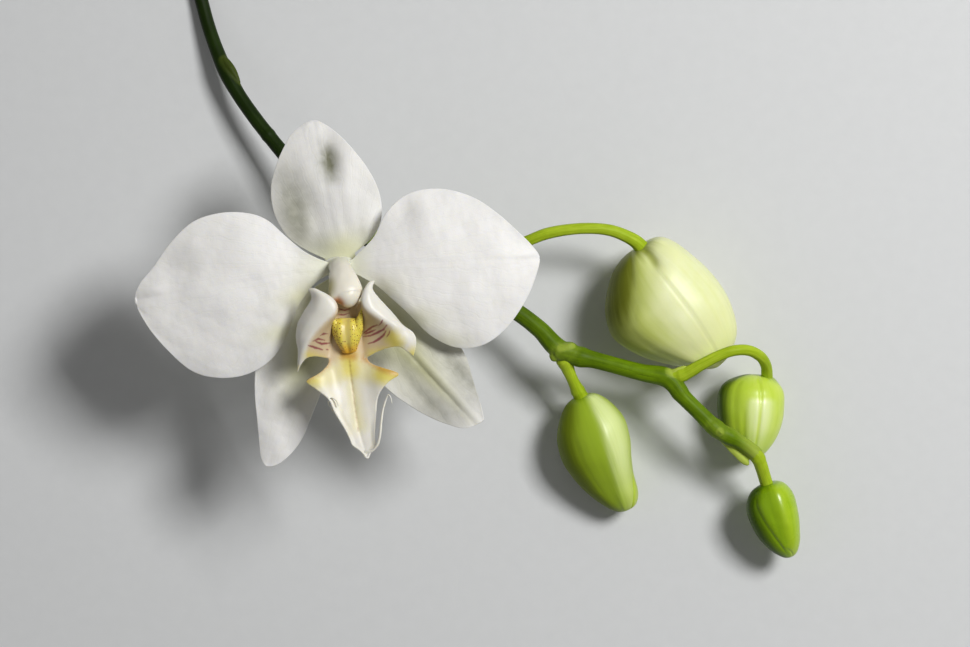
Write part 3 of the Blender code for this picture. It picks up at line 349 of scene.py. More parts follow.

# The buds: line, depth of the three seams, rows of (place, left, right, front, back), and creases as
# (turn at their start, turn at their end, from, to, half-width in degrees, height in mm). A turn of
# 90 degrees is the side that faces the camera, and 0 the right-hand side. "lobe" is where the painted
# shade of the left side begins, a deeper green that stands in for the shade there over a greener tone
# of the bud's own: (turn at the foot, turn at a place, that place, softness in degrees, place where it
# has faded), and "seat" is the spot where the stalk enters and how far its green reaches.
BUDS = {
    "bud_1": {
        "line": [(32.6, -0.1, 12.4), (50.9, -24.3, 9.2)], "seams": 0.035,
        "lobe": (97, 129, 0.38, 12, 0.6), "seat": (34.6, -0.4, 14.6, 4.6),
        "rows": [
            (0.0, 0.0, 0.0, 0.0, 0.0), (0.02, 4.6, 5.6, 4.8, 4.8), (0.1, 8.7, 8.1, 7.6, 7.6),
            (0.23, 12.5, 9.4, 9.9, 9.9), (0.4, 14.4, 10.5, 10.9, 10.9), (0.58, 12.5, 10.7, 10.9, 10.9),
            (0.74, 9.2, 9.7, 9.4, 9.4), (0.88, 5.5, 7.6, 6.8, 6.8), (0.975, 1.9, 3.9, 3.0, 3.0),
            (1.0, 0.0, 0.0, 0.0, 0.0),
        ],
        "creases": [
            (82, 82, 0.12, 1.05, 1.8, -0.14), (87, 88, 0.05, 1.0, 9, -0.12), (66, 80, -0.1, 0.22, 8, -0.7),
            (40, 46, -0.1, 0.3, 14, 0.35), (104, 135, -0.05, 0.42, 8, -0.34),
            (124, 125, 0.25, 0.98, 12, 0.35), (138, 138, 0.35, 1.02, 5, -0.12),
            (205, 205, -0.1, 1.05, 3, -0.3), (325, 325, -0.1, 1.05, 3, -0.3), (265, 268, 0.1, 1.0, 12, 0.3),
        ],
    },
    "bud_2": {
        "line": [(22.0, -30.4, 9.2), (31.7, -54.9, 5.1)], "seams": 0.03,
        "lobe": (96, 104, 1.0, 44, 9.0), "seat": (22.4, -31.4, 9.0, 3.0),
        "rows": [
            (0.0, 0.0, 0.0, 0.0, 0.0), (0.03, 3.6, 3.0, 3.2, 3.2), (0.14, 6.5, 5.4, 5.8, 5.8),
            (0.28, 8.4, 6.8, 7.4, 7.4), (0.44, 8.9, 6.5, 7.7, 7.7), (0.59, 8.1, 5.4, 6.8, 6.8),
            (0.74, 6.6, 4.4, 5.4, 5.4), (0.89, 4.2, 3.9, 4.0, 4.0), (0.98, 2.0, 2.4, 2.1, 2.1),
            (1.0, 0.0, 0.0, 0.0, 0.0),
        ],
        "creases": [
            (46, 72, -0.1, 1.05, 32, 0.34), (68, 98, 0.02, 1.05, 7, 0.16), (104, 114, 0.1, 0.95, 14, -0.2),
            (124, 122, 0.2, 0.85, 2.5, -0.1), (22, 78, 0.7, 1.08, 4, -0.4), (205, 215, 0.0, 1.05, 4, -0.3),
            (325, 330, 0.0, 1.05, 4, -0.3),
        ],
    },
    "bud_3": {
        "line": [(58.2, -26.0, 7.6), (57.8, -44.0, 7.0)], "seams": 0.03,
        "lobe": (122, 122, 1.0, 34, 9.0), "seat": (61.4, -27.4, 8.0, 2.4),
        "rows": [
            (0.0, 0.0, 0.0, 0.0, 0.0), (0.02, 2.6, 4.0, 3.0, 3.0), (0.09, 5.4, 5.6, 5.0, 5.0),
            (0.2, 6.9, 6.8, 6.3, 6.3), (0.37, 7.3, 7.0, 6.8, 6.8), (0.54, 7.0, 6.7, 6.6, 6.6),
            (0.69, 6.2, 5.9, 5.8, 5.8), (0.85, 4.4, 4.3, 4.2, 4.2), (0.95, 2.3, 2.5, 2.3, 2.3),
            (1.0, 0.0, 0.0, 0.0, 0.0),
        ],
        "creases": [
            (76, 84, -0.05, 1.05, 3, -0.24), (76, 82, 0.2, 0.98, 25, 0.34), (96, 102, 0.2, 0.9, 5, 0.08),
            (108, 110, 0.35, 0.9, 4, -0.12), (126, 122, 0.0, 0.95, 7, -0.18),
            (205, 210, 0.0, 1.05, 4, -0.3), (325, 330, 0.0, 1.05, 4, -0.3),
        ],
    },
    "bud_4": {
        "line": [(61.3, -48.8, 10.6), (66.1, -64.6, 8.4)], "seams": 0.03,
        "lobe": (102, 102, 1.0, 50, 9.0), "seat": (61.5, -50.2, 10.6, 2.2),
        "rows": [
            (0.0, 0.0, 0.0, 0.0, 0.0), (0.02, 2.8, 2.4, 2.6, 2.6), (0.09, 4.7, 3.7, 4.2, 4.2),
            (0.23, 6.0, 4.5, 5.0, 5.0), (0.43, 6.1, 4.5, 5.1, 5.1), (0.64, 5.3, 3.9, 4.4, 4.4),
            (0.83, 3.7, 3.0, 3.2, 3.2), (0.96, 1.7, 1.7, 1.6, 1.6), (1.0, 0.0, 0.0, 0.0, 0.0),
        ],
        "creases": [
            (140, 104, 0.05, 0.92, 3, -0.2), (104, 50, 0.8, 1.05, 5, -0.18), (126, 96, 0.1, 0.9, 9, 0.12),
            (112, 100, -0.05, 0.5, 10, -0.16), (75, 80, 0.0, 0.6, 12, 0.15), (215, 215, 0.0, 1.05, 5, -0.25),
            (325, 325, 0.0, 1.05, 5, -0.25),
        ],
    },
}


# Small tools

def linear(hex_colour):
    """An sRGB hex colour as the linear RGBA that Blender's sockets take."""
    channels = [int(hex_colour[place:place + 2], 16) / 255 for place in (1, 3, 5)]
    return tuple(c / 12.92 if c <= 0.04045 else ((c + 0.055) / 1.055) ** 2.4 for c in channels) + (1.0,)


def grain(size_mm):
    """The scale that gives a texture on Object coordinates features of about that size."""
    return 1.0 / (size_mm * MM)


def add(tree, kind, settings=None, inputs=None):
    """A node with its settings. An input is a value, a socket, or a node whose first output is linked."""
    node = tree.nodes.new(kind)
    for key, value in (settings or {}).items():
        setattr(node, key, value)
    set_inputs(tree, node, inputs or {})
    return node


def set_inputs(tree, node, inputs):
    for key, value in inputs.items():
        if isinstance(key, int):
            socket = [s for s in node.inputs if s.enabled][key]
        else:
            socket = next(s for s in node.inputs if s.enabled and s.name == key)
        if isinstance(value, bpy.types.Node):
            value = next(s for s in value.outputs if s.enabled)
        if isinstance(value, bpy.types.NodeSocket):
            tree.links.new(value, socket)
        else:
            socket.default_value = value


def new_material(name):
    """A new material with its node tree, its shader and the object's own coordinates."""
    material = bpy.data.materials.new(name)
    material.use_nodes = True
    tree = material.node_tree
    spot = add(tree, "ShaderNodeTexCoord").outputs["Object"]
    return material, tree, tree.nodes["Principled BSDF"], spot


def curve(rows, t, widths=0):
    """Rows at the places t (0 to 1), on the same smooth curve as in the part's source."""
    rows = np.array(rows, float)
    place = rows.shape[1] - widths

    def beyond(end, before):
        # Where all widths close, they run on below zero past the end, which keeps it round
        if widths and not end[place:].any():
            return np.concatenate([before[:place], -before[place:]])
        return 2 * end - before

    padded = np.vstack([beyond(rows[0], rows[1]), rows, beyond(rows[-1], rows[-2])])
    position = np.asarray(t, float) * (len(rows) - 1)
    first = np.clip(position.astype(int), 0, len(rows) - 2)
    f = (position - first)[..., None]
    a, b, c, d = (padded[first + k] for k in range(4))
    bend = (2 * a - 5 * b + 4 * c - d) * f ** 2
    twist = (3 * b - a - 3 * c + d) * f ** 3
    return 0.5 * (2 * b + (c - a) * f + bend + twist)


def unit(vectors):
    length = np.linalg.norm(vectors, axis=-1, keepdims=True)
    return np.where(length > 1e-12, vectors / np.maximum(length, 1e-12), UP)


def smoothstep(low, high, values):
    f = np.clip((values - low) / (high - low), 0.0, 1.0)
    return f * f * (3 - 2 * f)


def ripple(points, wavelength, seed):
    """A smooth unevenness of about -1 to 1 over points, in bumps of the given wavelength."""
    random = np.random.default_rng(seed)
    waves = 14
    total = 0.0
    for _ in range(waves):
        way = unit(random.normal(size=3))
        pitch = math.tau / (wavelength * random.uniform(0.75, 1.5))
        total = total + np.sin(points @ way * pitch + random.uniform(0, math.tau))
    return total * math.sqrt(2 / waves) / 2


def route_distance(points, route):
    """How far (mm) each (x, y) lies from a route of straight runs, and at which share of the route."""
    nearest = np.full(points.shape[:-1], np.inf)
    share = np.zeros(points.shape[:-1])
    for number, (start, end) in enumerate(zip(np.array(route)[:-1], np.array(route)[1:])):
        run = end - start
        f = np.clip(((points - start) @ run) / (run @ run), 0, 1)
        distance = np.linalg.norm(points - start - f[..., None] * run, axis=-1)
        share = np.where(distance < nearest, (number + f) / (len(route) - 1), share)
        nearest = np.minimum(nearest, distance)
    return nearest, share


def nearest_points(points, others, count=1):
    """For each of the points, the numbers of the nearest few among the others."""
    tree = KDTree(len(others))
    for index, point in enumerate(others):
        tree.insert(point, index)
    tree.balance()
    found = np.array([[hit[1] for hit in tree.find_n(point, count)] for point in points])
    return found[:, 0] if count == 1 else found


# Meshes

def link_piece(name, mesh):
    piece = bpy.data.objects.new(name, mesh)
    bpy.context.scene.collection.objects.link(piece)
    return piece


def close_up(mesh):
    """Merges doubles, so that poles and seams close, and turns every face outwards."""
    bm = bmesh.new()
    bm.from_mesh(mesh)
    bmesh.ops.remove_doubles(bm, verts=bm.verts, dist=WELD)
    bmesh.ops.dissolve_degenerate(bm, edges=bm.edges, dist=WELD)
    bmesh.ops.recalc_face_normals(bm, faces=bm.faces)
    bm.to_mesh(mesh)
    bm.free()
    mesh.shade_smooth()


def give_layer(mesh, layer, values):
    kind = "FLOAT_VECTOR" if values.ndim == 2 else "FLOAT"
    attribute = mesh.attributes.new(layer, kind, "POINT")
    attribute.data.foreach_set("vector" if values.ndim == 2 else "value", values.astype(np.float32).ravel())


def read_layer(mesh, layer):
    attribute = mesh.attributes[layer]
    kind, width = ("vector", 3) if attribute.data_type == "FLOAT_VECTOR" else ("value", 1)
    values = np.zeros(len(mesh.vertices) * width, np.float32)
    attribute.data.foreach_get(kind, values)
    return values.reshape(-1, 3).astype(float) if width == 3 else values.astype(float)


def read_points(mesh):
    """The vertices, and their normals, in millimetres."""
    points = np.zeros(len(mesh.vertices) * 3, np.float32)
    normals = np.zeros(len(mesh.vertices) * 3, np.float32)
    mesh.vertices.foreach_get("co", points)
    mesh.vertices.foreach_get("normal", normals)
    return points.reshape(-1, 3).astype(float) / MM, normals.reshape(-1, 3).astype(float)


def write_points(mesh, points):
    mesh.vertices.foreach_set("co", (points * MM).astype(np.float32).ravel())
    mesh.update()


def grid_faces(rings, columns):
    corner = np.arange(rings - 1)[:, None] * columns + np.arange(columns - 1)[None, :]
    return np.stack([corner, corner + 1, corner + columns + 1, corner + columns], -1).reshape(-1, 4)


def border_distance(grid):
    """How far each point of a grid lies from its nearest border, measured along the sheet."""
    distances = []
    for axis in (0, 1):
        steps = np.linalg.norm(np.diff(grid, axis=axis), axis=-1)
        reach = np.insert(np.cumsum(steps, axis=axis), 0, 0.0, axis=axis)
        distances += [reach, np.max(reach, axis=axis, keepdims=True) - reach]
    return np.min(distances, axis=0)


def sheet_piece(name, grid, wall, layers, keel=0.0):
    """A closed thin shell round a grid of points: full in the middle, thin and rounded at its margins.

    wall is (thickness in the middle, at the margin, width of the margin); keel thickens the back.
    """
    normal = unit(np.cross(np.gradient(grid, axis=0), np.gradient(grid, axis=1)))
    if normal[grid.shape[0] // 2, grid.shape[1] // 2, 2] < 0:
        normal = -normal
    inward = border_distance(grid)
    middle, edge, margin = wall
    half = (edge + (middle - edge) * smoothstep(0, margin, inward)) / 2
    rounded = np.sqrt(1 - (1 - np.minimum(inward / (edge / 2), 1)) ** 2)
    front = grid + normal * (half * rounded)[..., None]
    back = grid - normal * ((half + keel) * rounded)[..., None]
    faces = grid_faces(*grid.shape[:2])
    count = front.shape[0] * front.shape[1]
    points = np.concatenate([front.reshape(-1, 3), back.reshape(-1, 3)])
    mesh = bpy.data.meshes.new(name)
    mesh.from_pydata((points * MM).tolist(), [], np.concatenate([faces, faces[:, ::-1] + count]).tolist())
    for layer, values in layers.items():
        flat = np.broadcast_to(values, grid.shape[:2] + values.shape[2:]).reshape(count, *values.shape[2:])
        give_layer(mesh, layer, np.concatenate([flat, flat]))
    give_layer(mesh, "front", np.concatenate([np.ones(count), np.zeros(count)]))
    close_up(mesh)
    return link_piece(name, mesh)


def evaluated_mesh(piece, name):
    depsgraph = bpy.context.evaluated_depsgraph_get()
    mesh = bpy.data.meshes.new_from_object(piece.evaluated_get(depsgraph))
    mesh.name = name
    return mesh


def grow(name, source, tree, values):
    """Runs a Geometry Nodes tree on the source mesh and keeps the result as a plain mesh."""
    holder = link_piece("source_of_" + name, source)
    modifier = holder.modifiers.new("Growth", "NODES")
    modifier.node_group = tree
    for item in tree.interface.items_tree:
        if item.item_type == "SOCKET" and item.in_out == "INPUT" and item.name in values:
            modifier[item.identifier] = values[item.name]
    mesh = evaluated_mesh(holder, name)
    holder.modifiers.clear()
    bpy.data.objects.remove(holder)
    return mesh


def new_tree(name, sizes):
    """An empty Geometry Nodes tree with named inputs; returns it and the sockets of its inputs."""
    tree = bpy.data.node_groups.new(name, "GeometryNodeTree")
    tree.interface.new_socket("Geometry", in_out="INPUT", socket_type="NodeSocketGeometry")
    for size_name, value in sizes.items():
        kind = "NodeSocketInt" if isinstance(value, int) else "NodeSocketFloat"
        tree.interface.new_socket(size_name, in_out="INPUT", socket_type=kind).default_value = value
    tree.interface.new_socket("Skin", in_out="INPUT", socket_type="NodeSocketMaterial")
    tree.interface.new_socket("Geometry", in_out="OUTPUT", socket_type="NodeSocketGeometry")
    return tree, add(tree, "NodeGroupInput").outputs


def finish_tree(tree, geometry, skin):
    real = add(tree, "GeometryNodeRealizeInstances", inputs={"Geometry": geometry})
    smooth = add(tree, "GeometryNodeSetShadeSmooth", inputs={"Geometry": real})
    painted = add(tree, "GeometryNodeSetMaterial", inputs={"Geometry": smooth, "Material": skin})
    add(tree, "NodeGroupOutput", inputs={"Geometry": painted})
    return tree


def stalk_tree():
    """A round stalk along a path whose points carry a radius: faint ribs, uneven skin, flat ends."""
    tree, given = new_tree("stalk", {
        "Ring spacing": 0.35 * MM, "Sides": 36, "Rib count": 7.0, "Rib height": 0.03 * MM,
        "Unevenness": 0.05 * MM, "Bump size": 2.2 * MM, "Lowest point": 0.0,
    })
    path = add(tree, "GeometryNodeMeshToCurve", inputs={"Mesh": given["Geometry"]})
    path = add(tree, "GeometryNodeResampleCurve", {"mode": "LENGTH"}, {
        "Curve": path, "Length": given["Ring spacing"]})
    length = add(tree, "GeometryNodeSplineParameter").outputs["Length"]
    path = add(tree, *STORE, {"Geometry": path, "Name": "along", "Value": length})
    ring = add(tree, "GeometryNodeCurvePrimitiveCircle", {"mode": "RADIUS"}, {
        "Resolution": given["Sides"], "Radius": 1.0})
    share = add(tree, "GeometryNodeSplineParameter").outputs["Factor"]
    ring = add(tree, *STORE, {"Geometry": ring, "Name": "around", "Value": share})
    radius = add(tree, *STORED, {"Name": "radius"})
    tube = add(tree, "GeometryNodeCurveToMesh", inputs={
        "Curve": path, "Profile Curve": ring, "Scale": radius, "Fill Caps": True})
    around = add(tree, *STORED, {"Name": "around"})
    turn = add(tree, *MULTIPLY, {0: given["Rib count"], 1: around})
    turn = add(tree, *MULTIPLY, {0: turn, 1: math.tau})
    rib = add(tree, "ShaderNodeMath", {"operation": "SINE"}, {0: turn})
    rib = add(tree, *MULTIPLY, {0: rib, 1: given["Rib height"]})
    pitch = add(tree, "ShaderNodeMath", {"operation": "DIVIDE"}, {0: 1.0, 1: given["Bump size"]})
    bumps = add(tree, "ShaderNodeTexNoise", inputs={
        "Vector": add(tree, "GeometryNodeInputPosition"), "Scale": pitch, "Detail": 1.0})
    bumps = add(tree, "ShaderNodeMath", {"operation": "SUBTRACT"}, {0: bumps.outputs["Fac"], 1: 0.5})
    lift = add(tree, *MULTIPLY_ADD, {0: bumps, 1: given["Unevenness"], 2: rib})
    outward = add(tree, "ShaderNodeVectorMath", {"operation": "SCALE"}, {
        "Vector": add(tree, "GeometryNodeInputNormal"), "Scale": lift})
    tube = add(tree, "GeometryNodeSetPosition", inputs={"Geometry": tube, "Offset": outward})
    spot = add(tree, "GeometryNodeInputPosition")
    spot = add(tree, "ShaderNodeSeparateXYZ", inputs={"Vector": spot}).outputs
    height = add(tree, "ShaderNodeMath", {"operation": "MAXIMUM"}, {0: spot["Z"], 1: given["Lowest point"]})
    rested = add(tree, "ShaderNodeCombineXYZ", inputs={"X": spot["X"], "Y": spot["Y"], "Z": height})
    tube = add(tree, "GeometryNodeSetPosition", inputs={"Geometry": tube, "Position": rested})
    return finish_tree(tree, tube, given["Skin"])


def pod_tree():
    """A closed oval body: rings along a line, whose points carry the half sizes to all four sides."""
    tree, given = new_tree("pod", {"Sides": 96, "Seam depth": 0.03, "Seam count": 3.0})
    line = add(tree, "GeometryNodeMeshToCurve", inputs={"Mesh": given["Geometry"]})
    line = add(tree, "GeometryNodeStoreNamedAttribute", {"data_type": "FLOAT_VECTOR", "domain": "POINT"},
               {"Geometry": line, "Name": "axis", "Value": add(tree, "GeometryNodeInputPosition")})
    ring = add(tree, "GeometryNodeCurvePrimitiveCircle", {"mode": "RADIUS"}, {
        "Resolution": given["Sides"], "Radius": MM})
    share = add(tree, "GeometryNodeSplineParameter").outputs["Factor"]
    turn = add(tree, *MULTIPLY, {0: share, 1: math.tau})
    ring = add(tree, *STORE, {"Geometry": ring, "Name": "turn", "Value": turn})
    body = add(tree, "GeometryNodeCurveToMesh", inputs={"Curve": line, "Profile Curve": ring})
    turn = add(tree, *STORED, {"Name": "turn"})
    reach = (0.0, 0.0, 0.0)
    for wave, side, opposite in (("COSINE", "to_right", "to_left"), ("SINE", "to_front", "to_back")):
        swing = add(tree, "ShaderNodeMath", {"operation": wave}, {0: turn})
        for sign, name in ((1.0, side), (-1.0, opposite)):
            share = add(tree, *MULTIPLY, {0: swing, 1: sign})
            share = add(tree, "ShaderNodeMath", {"operation": "MAXIMUM"}, {0: share, 1: 0.0})
            size = add(tree, "GeometryNodeInputNamedAttribute", {"data_type": "FLOAT_VECTOR"}, {"Name": name})
            part = add(tree, "ShaderNodeVectorMath", {"operation": "SCALE"}, {"Vector": size, "Scale": share})
            reach = add(tree, "ShaderNodeVectorMath", {"operation": "ADD"}, {0: reach, 1: part})
    from_front = add(tree, "ShaderNodeMath", {"operation": "SUBTRACT"}, {0: turn, 1: math.pi / 2})
    lobes = add(tree, *MULTIPLY, {0: from_front, 1: given["Seam count"]})
    lobes = add(tree, "ShaderNodeMath", {"operation": "COSINE"}, {0: lobes})
    lobes = add(tree, *MULTIPLY_ADD, {0: lobes, 1: 0.5, 2: 0.5})
    pinch = add(tree, *MULTIPLY, {0: lobes, 1: given["Seam depth"]})
    fullness = add(tree, "ShaderNodeMath", {"operation": "SUBTRACT"}, {0: 1.0, 1: pinch})
    reach = add(tree, "ShaderNodeVectorMath", {"operation": "SCALE"}, {"Vector": reach, "Scale": fullness})
    axis = add(tree, "GeometryNodeInputNamedAttribute", {"data_type": "FLOAT_VECTOR"}, {"Name": "axis"})
    spot = add(tree, "ShaderNodeVectorMath", {"operation": "ADD"}, {0: axis, 1: reach})
    body = add(tree, "GeometryNodeSetPosition", inputs={"Geometry": body, "Position": spot})
    return finish_tree(tree, body, given["Skin"])


def speckle_tree():
    """Small flat dots set at random, but never close together, on the speckled parts of a surface."""
    tree, given = new_tree("speckles", {"Spacing": 0.42 * MM, "Dot radius": 0.1 * MM, "Seed": 4})
    where = add(tree, *STORED, {"Name": "speckled"})
    spots = add(tree, "GeometryNodeDistributePointsOnFaces", {"distribute_method": "POISSON"}, {
        "Mesh": given["Geometry"], "Distance Min": given["Spacing"], "Density Max": 9e6,
        "Density Factor": where, "Seed": given["Seed"]}).outputs
    dot = add(tree, "GeometryNodeMeshIcoSphere", inputs={"Radius": given["Dot radius"], "Subdivisions": 2})
    size = add(tree, "FunctionNodeRandomValue", {"data_type": "FLOAT"}, {
        "Min": 0.6, "Max": 1.35, "Seed": given["Seed"]})
    flat = add(tree, "ShaderNodeVectorMath", {"operation": "SCALE"}, {
        "Vector": (1.0, 1.0, 0.35), "Scale": size})
    dots = add(tree, "GeometryNodeInstanceOnPoints", inputs={
        "Points": spots["Points"], "Instance": dot, "Rotation": spots["Rotation"], "Scale": flat})
    return finish_tree(tree, dots, given["Skin"])


def tube_piece(name, route, tree, skin, collars=(), samples=320, **sizes):
    """A stalk along a smooth route of (x, y, height, radius), with raised rings at its joints."""
    rows = curve(route, np.linspace(0, 1, samples))
    steps = np.linalg.norm(np.diff(rows[:, :3], axis=0), axis=1)
    along = np.insert(np.cumsum(steps), 0, 0.0)
    radius = rows[:, 3].copy()
    for place, height, half_length in collars:
        radius += height * np.exp(-((along - place) / half_length) ** 2)
    path = bpy.data.meshes.new("path_of_" + name)
    edges = np.stack([np.arange(samples - 1), np.arange(1, samples)], 1)
    path.from_pydata((rows[:, :3] * MM).tolist(), edges.tolist(), [])
    give_layer(path, "radius", radius * MM)
    values = {key.replace("_", " ").capitalize(): value for key, value in sizes.items()}
    mesh = grow(name, path, tree, {"Skin": skin, **values})
    mesh.set_sharp_from_angle(angle=math.radians(50))
    round_stem = read_layer(mesh, "around") * math.tau
    length = read_layer(mesh, "along") / MM
    give_layer(mesh, "girth", np.stack([np.cos(round_stem), np.sin(round_stem), length], -1))
    give_layer(mesh, "pale", np.zeros(len(length)))
    return link_piece(name, mesh)


def pod_piece(name, line, rows, hint, tree, skin, rings, sides=96, seams=0.0, creases=(),
              rough=(0.0, 1.0)):
    """A closed body grown along a line, with its own creases.

    hint is the way its right side points; rough is the (height, size) of its unevenness.
    """
    section = curve(rows, np.linspace(0, 1, rings + 1), widths=4)
    place = section[:, 0]
    ahead = unit(curve(line, place + 0.01) - curve(line, place - 0.01))
    right = unit(hint - (ahead @ hint)[:, None] * ahead)
    front = np.cross(ahead, right)
    spine = bpy.data.meshes.new("spine_of_" + name)
    edges = np.stack([np.arange(rings), np.arange(1, rings + 1)], 1)
    spine.from_pydata((curve(line, place) * MM).tolist(), edges.tolist(), [])
    give_layer(spine, "to_left", -right * section[:, 1:2] * MM)
    give_layer(spine, "to_right", right * section[:, 2:3] * MM)
    give_layer(spine, "to_front", front * section[:, 3:4] * MM)
    give_layer(spine, "to_back", -front * section[:, 4:5] * MM)
    give_layer(spine, "place", place)
    mesh = grow(name, spine, tree, {"Skin": skin, "Sides": sides, "Seam depth": seams})
    for layer in ("to_left", "to_right", "to_front", "to_back", "axis"):
        mesh.attributes.remove(mesh.attributes[layer])
    close_up(mesh)
    where, turn = read_layer(mesh, "place"), np.degrees(read_layer(mesh, "turn"))
    points, normals = read_points(mesh)
    relief = np.zeros(len(points))
    for start_turn, end_turn, start, end, half_width, height in creases:
        centre = start_turn + (end_turn - start_turn) * np.clip((where - start) / (end - start), 0, 1)
        aside = (turn - centre + 180) % 360 - 180
        window = smoothstep(start, start + 0.12, where) * smoothstep(-end, 0.12 - end, -where)
        relief += height * np.exp(-(aside / half_width) ** 2) * window
    poles = smoothstep(0, 0.03, where) * smoothstep(-1.0, -0.97, -where)
    give_layer(mesh, "crease", relief)
    give_layer(mesh, "girth", np.stack([np.cos(np.radians(turn)), np.sin(np.radians(turn)), where], -1))
    height, size = rough
    points = points + normals * ((relief + height * ripple(points, size, len(name))) * poles)[:, None]
    points[:, 2] = np.maximum(points[:, 2], 0.0)
    write_points(mesh, points)
    return link_piece(name, mesh)


def fused(name, pieces, voxel, smoothing):
    """The closed pieces grown together into one: remeshed, then lightly smoothed."""
    bm = bmesh.new()
    for piece in pieces:
        bm.from_mesh(piece.data)
        bpy.data.objects.remove(piece)
    mesh = bpy.data.meshes.new(name)
    bm.to_mesh(mesh)
    bm.free()
    whole = link_piece(name, mesh)
    remesh = whole.modifiers.new("Grown together", "REMESH")
    remesh.mode = "VOXEL"
    remesh.voxel_size = voxel * MM
    smooth = whole.modifiers.new("Even skin", "SMOOTH")
    smooth.factor = 0.5
    smooth.iterations = smoothing
    result = evaluated_mesh(whole, name)
    whole.modifiers.clear()
    whole.data = result
    bpy.data.meshes.remove(mesh)
    result.shade_smooth()
    return whole


def dress(piece, slot, *nodes, skin=None):
    """The piece rides on the spray, takes the skin if one is given and stands for those nodes.

    slot is not used.
    """
    if skin:
        piece.data.materials.clear()
        piece.data.materials.append(skin)
    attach(piece, "root")
    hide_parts(*nodes)


# Materials

def petal_skin():
    """Moth orchid petal: living tissue under a skin of tiny domed cells.

    To the eye: cool white with a soft sheen and no gloss, green-white at the claws, faint veins that
    fork towards the margin, fine crumples, and grey glassy patches where the tissue is soaked; on the
    sepals these patches also carry painted shade. Yellow-green patches are painted shade, tinted as by
    light that has passed through the petals.
    """
    material, tree, skin, spot = new_material("orchid_petal_skin")
    chart = add(tree, "ShaderNodeAttribute", {"attribute_name": "blade_chart"}).outputs["Vector"]
    chart = add(tree, "ShaderNodeSeparateXYZ", inputs={"Vector": chart}).outputs
    soaked_and_shade = add(tree, "ShaderNodeAttribute", {"attribute_name": "soaked_and_shade"}).outputs["Fac"]
    painted_green_shade = add(tree, "ShaderNodeAttribute", {"attribute_name": "painted_green_shade"}).outputs["Fac"]
    wander = add(tree, "ShaderNodeTexNoise", inputs={"Vector": spot, "Scale": grain(4.0), "Detail": 2.0})

    # Main veins lie about 2.4 mm apart in mid blade; each fork doubles their number
    veins = 0.0
    for count, begins in ((5.0, -1.0), (10.0, 9.0), (20.0, 19.0)):
        lane = add(tree, *MULTIPLY_ADD, {0: chart["Y"], 1: count, 2: wander})
        lane = add(tree, "ShaderNodeMath", {"operation": "PINGPONG"}, {0: lane, 1: 0.5})
        line = add(tree, *RANGE, {"Value": lane, "From Max": 0.018 * count, "To Min": 1.0, "To Max": 0.0})
        shown = add(tree, *RANGE, {
            "Value": chart["X"], "From Min": begins, "From Max": begins + 5.0, "To Max": 5.0 / count})
        line = add(tree, *MULTIPLY, {0: line, 1: shown})
        veins = add(tree, "ShaderNodeMath", {"operation": "MAXIMUM"}, {0: veins, 1: line})

    cloud = add(tree, "ShaderNodeTexNoise", inputs={"Vector": spot, "Scale": grain(7.0), "Detail": 3.0})
    tissue = add(tree, *MIX, {"Factor": cloud, "A": linear("#E6E5E3"), "B": linear("#EFEDEA")})
    veined = add(tree, *MULTIPLY, {0: veins, 1: 0.1})
    claw = add(tree, *FADE, {"Value": chart["X"], "From Min": 6.0, "From Max": -1.0, "To Max": 0.8})
    mottle = add(tree, "ShaderNodeTexNoise", inputs={
        "Vector": spot, "Scale": grain(2.0), "Detail": 4.0, "Roughness": 0.55, "Distortion": 0.4})
    mottle = add(tree, *RANGE, {
        "Value": mottle, "From Min": 0.3, "From Max": 0.7, "To Min": 0.78, "To Max": 1.08})
    # Grey glassy patches of soaked tissue; on the sepals they also carry painted shade
    glassy_and_shade = add(tree, "ShaderNodeMath", {"operation": "MULTIPLY", "use_clamp": True}, {0: soaked_and_shade, 1: mottle})
    # The yellow-green patches are painted shade, tinted as by light through the petals
    for share, colour in ((veined, "#D6D8C6"), (claw, "#DEE0C8"), (painted_green_shade, "#CBCAA0"), (glassy_and_shade, "#7C7C68")):
        tissue = add(tree, *MIX, {"Factor": share, "A": tissue, "B": linear(colour)})

    # Crumples of 1 to 2 mm, and the domed cells, which are really 0.05 mm and are drawn at 0.22 mm
    crumple = add(tree, "ShaderNodeTexNoise", inputs={
        "Vector": spot, "Scale": grain(1.5), "Detail": 3.0, "Roughness": 0.55, "Distortion": 0.4})
    cells = add(tree, "ShaderNodeTexVoronoi", inputs={"Vector": spot, "Scale": grain(0.22)})
    height = add(tree, *MULTIPLY_ADD, {0: veins, 1: -0.2, 2: crumple})
    height = add(tree, *MULTIPLY_ADD, {0: cells, 1: -0.12, 2: height})
    bump = add(tree, "ShaderNodeBump", inputs={"Strength": 0.55, "Distance": 0.12 * MM, "Height": height})
    roughness = add(tree, *RANGE, {"Value": glassy_and_shade, "To Min": 0.52, "To Max": 0.36})
    set_inputs(tree, skin, {
        "Base Color": tissue, "Roughness": roughness, "Normal": bump, "IOR": 1.4, "Specular IOR Level": 0.4,
        "Subsurface Weight": 0.3, "Subsurface Radius": (1.2, 1.1, 0.8), "Subsurface Scale": 0.5 * MM,
        "Sheen Weight": 0.12, "Sheen Roughness": 0.45,
    })
    return material


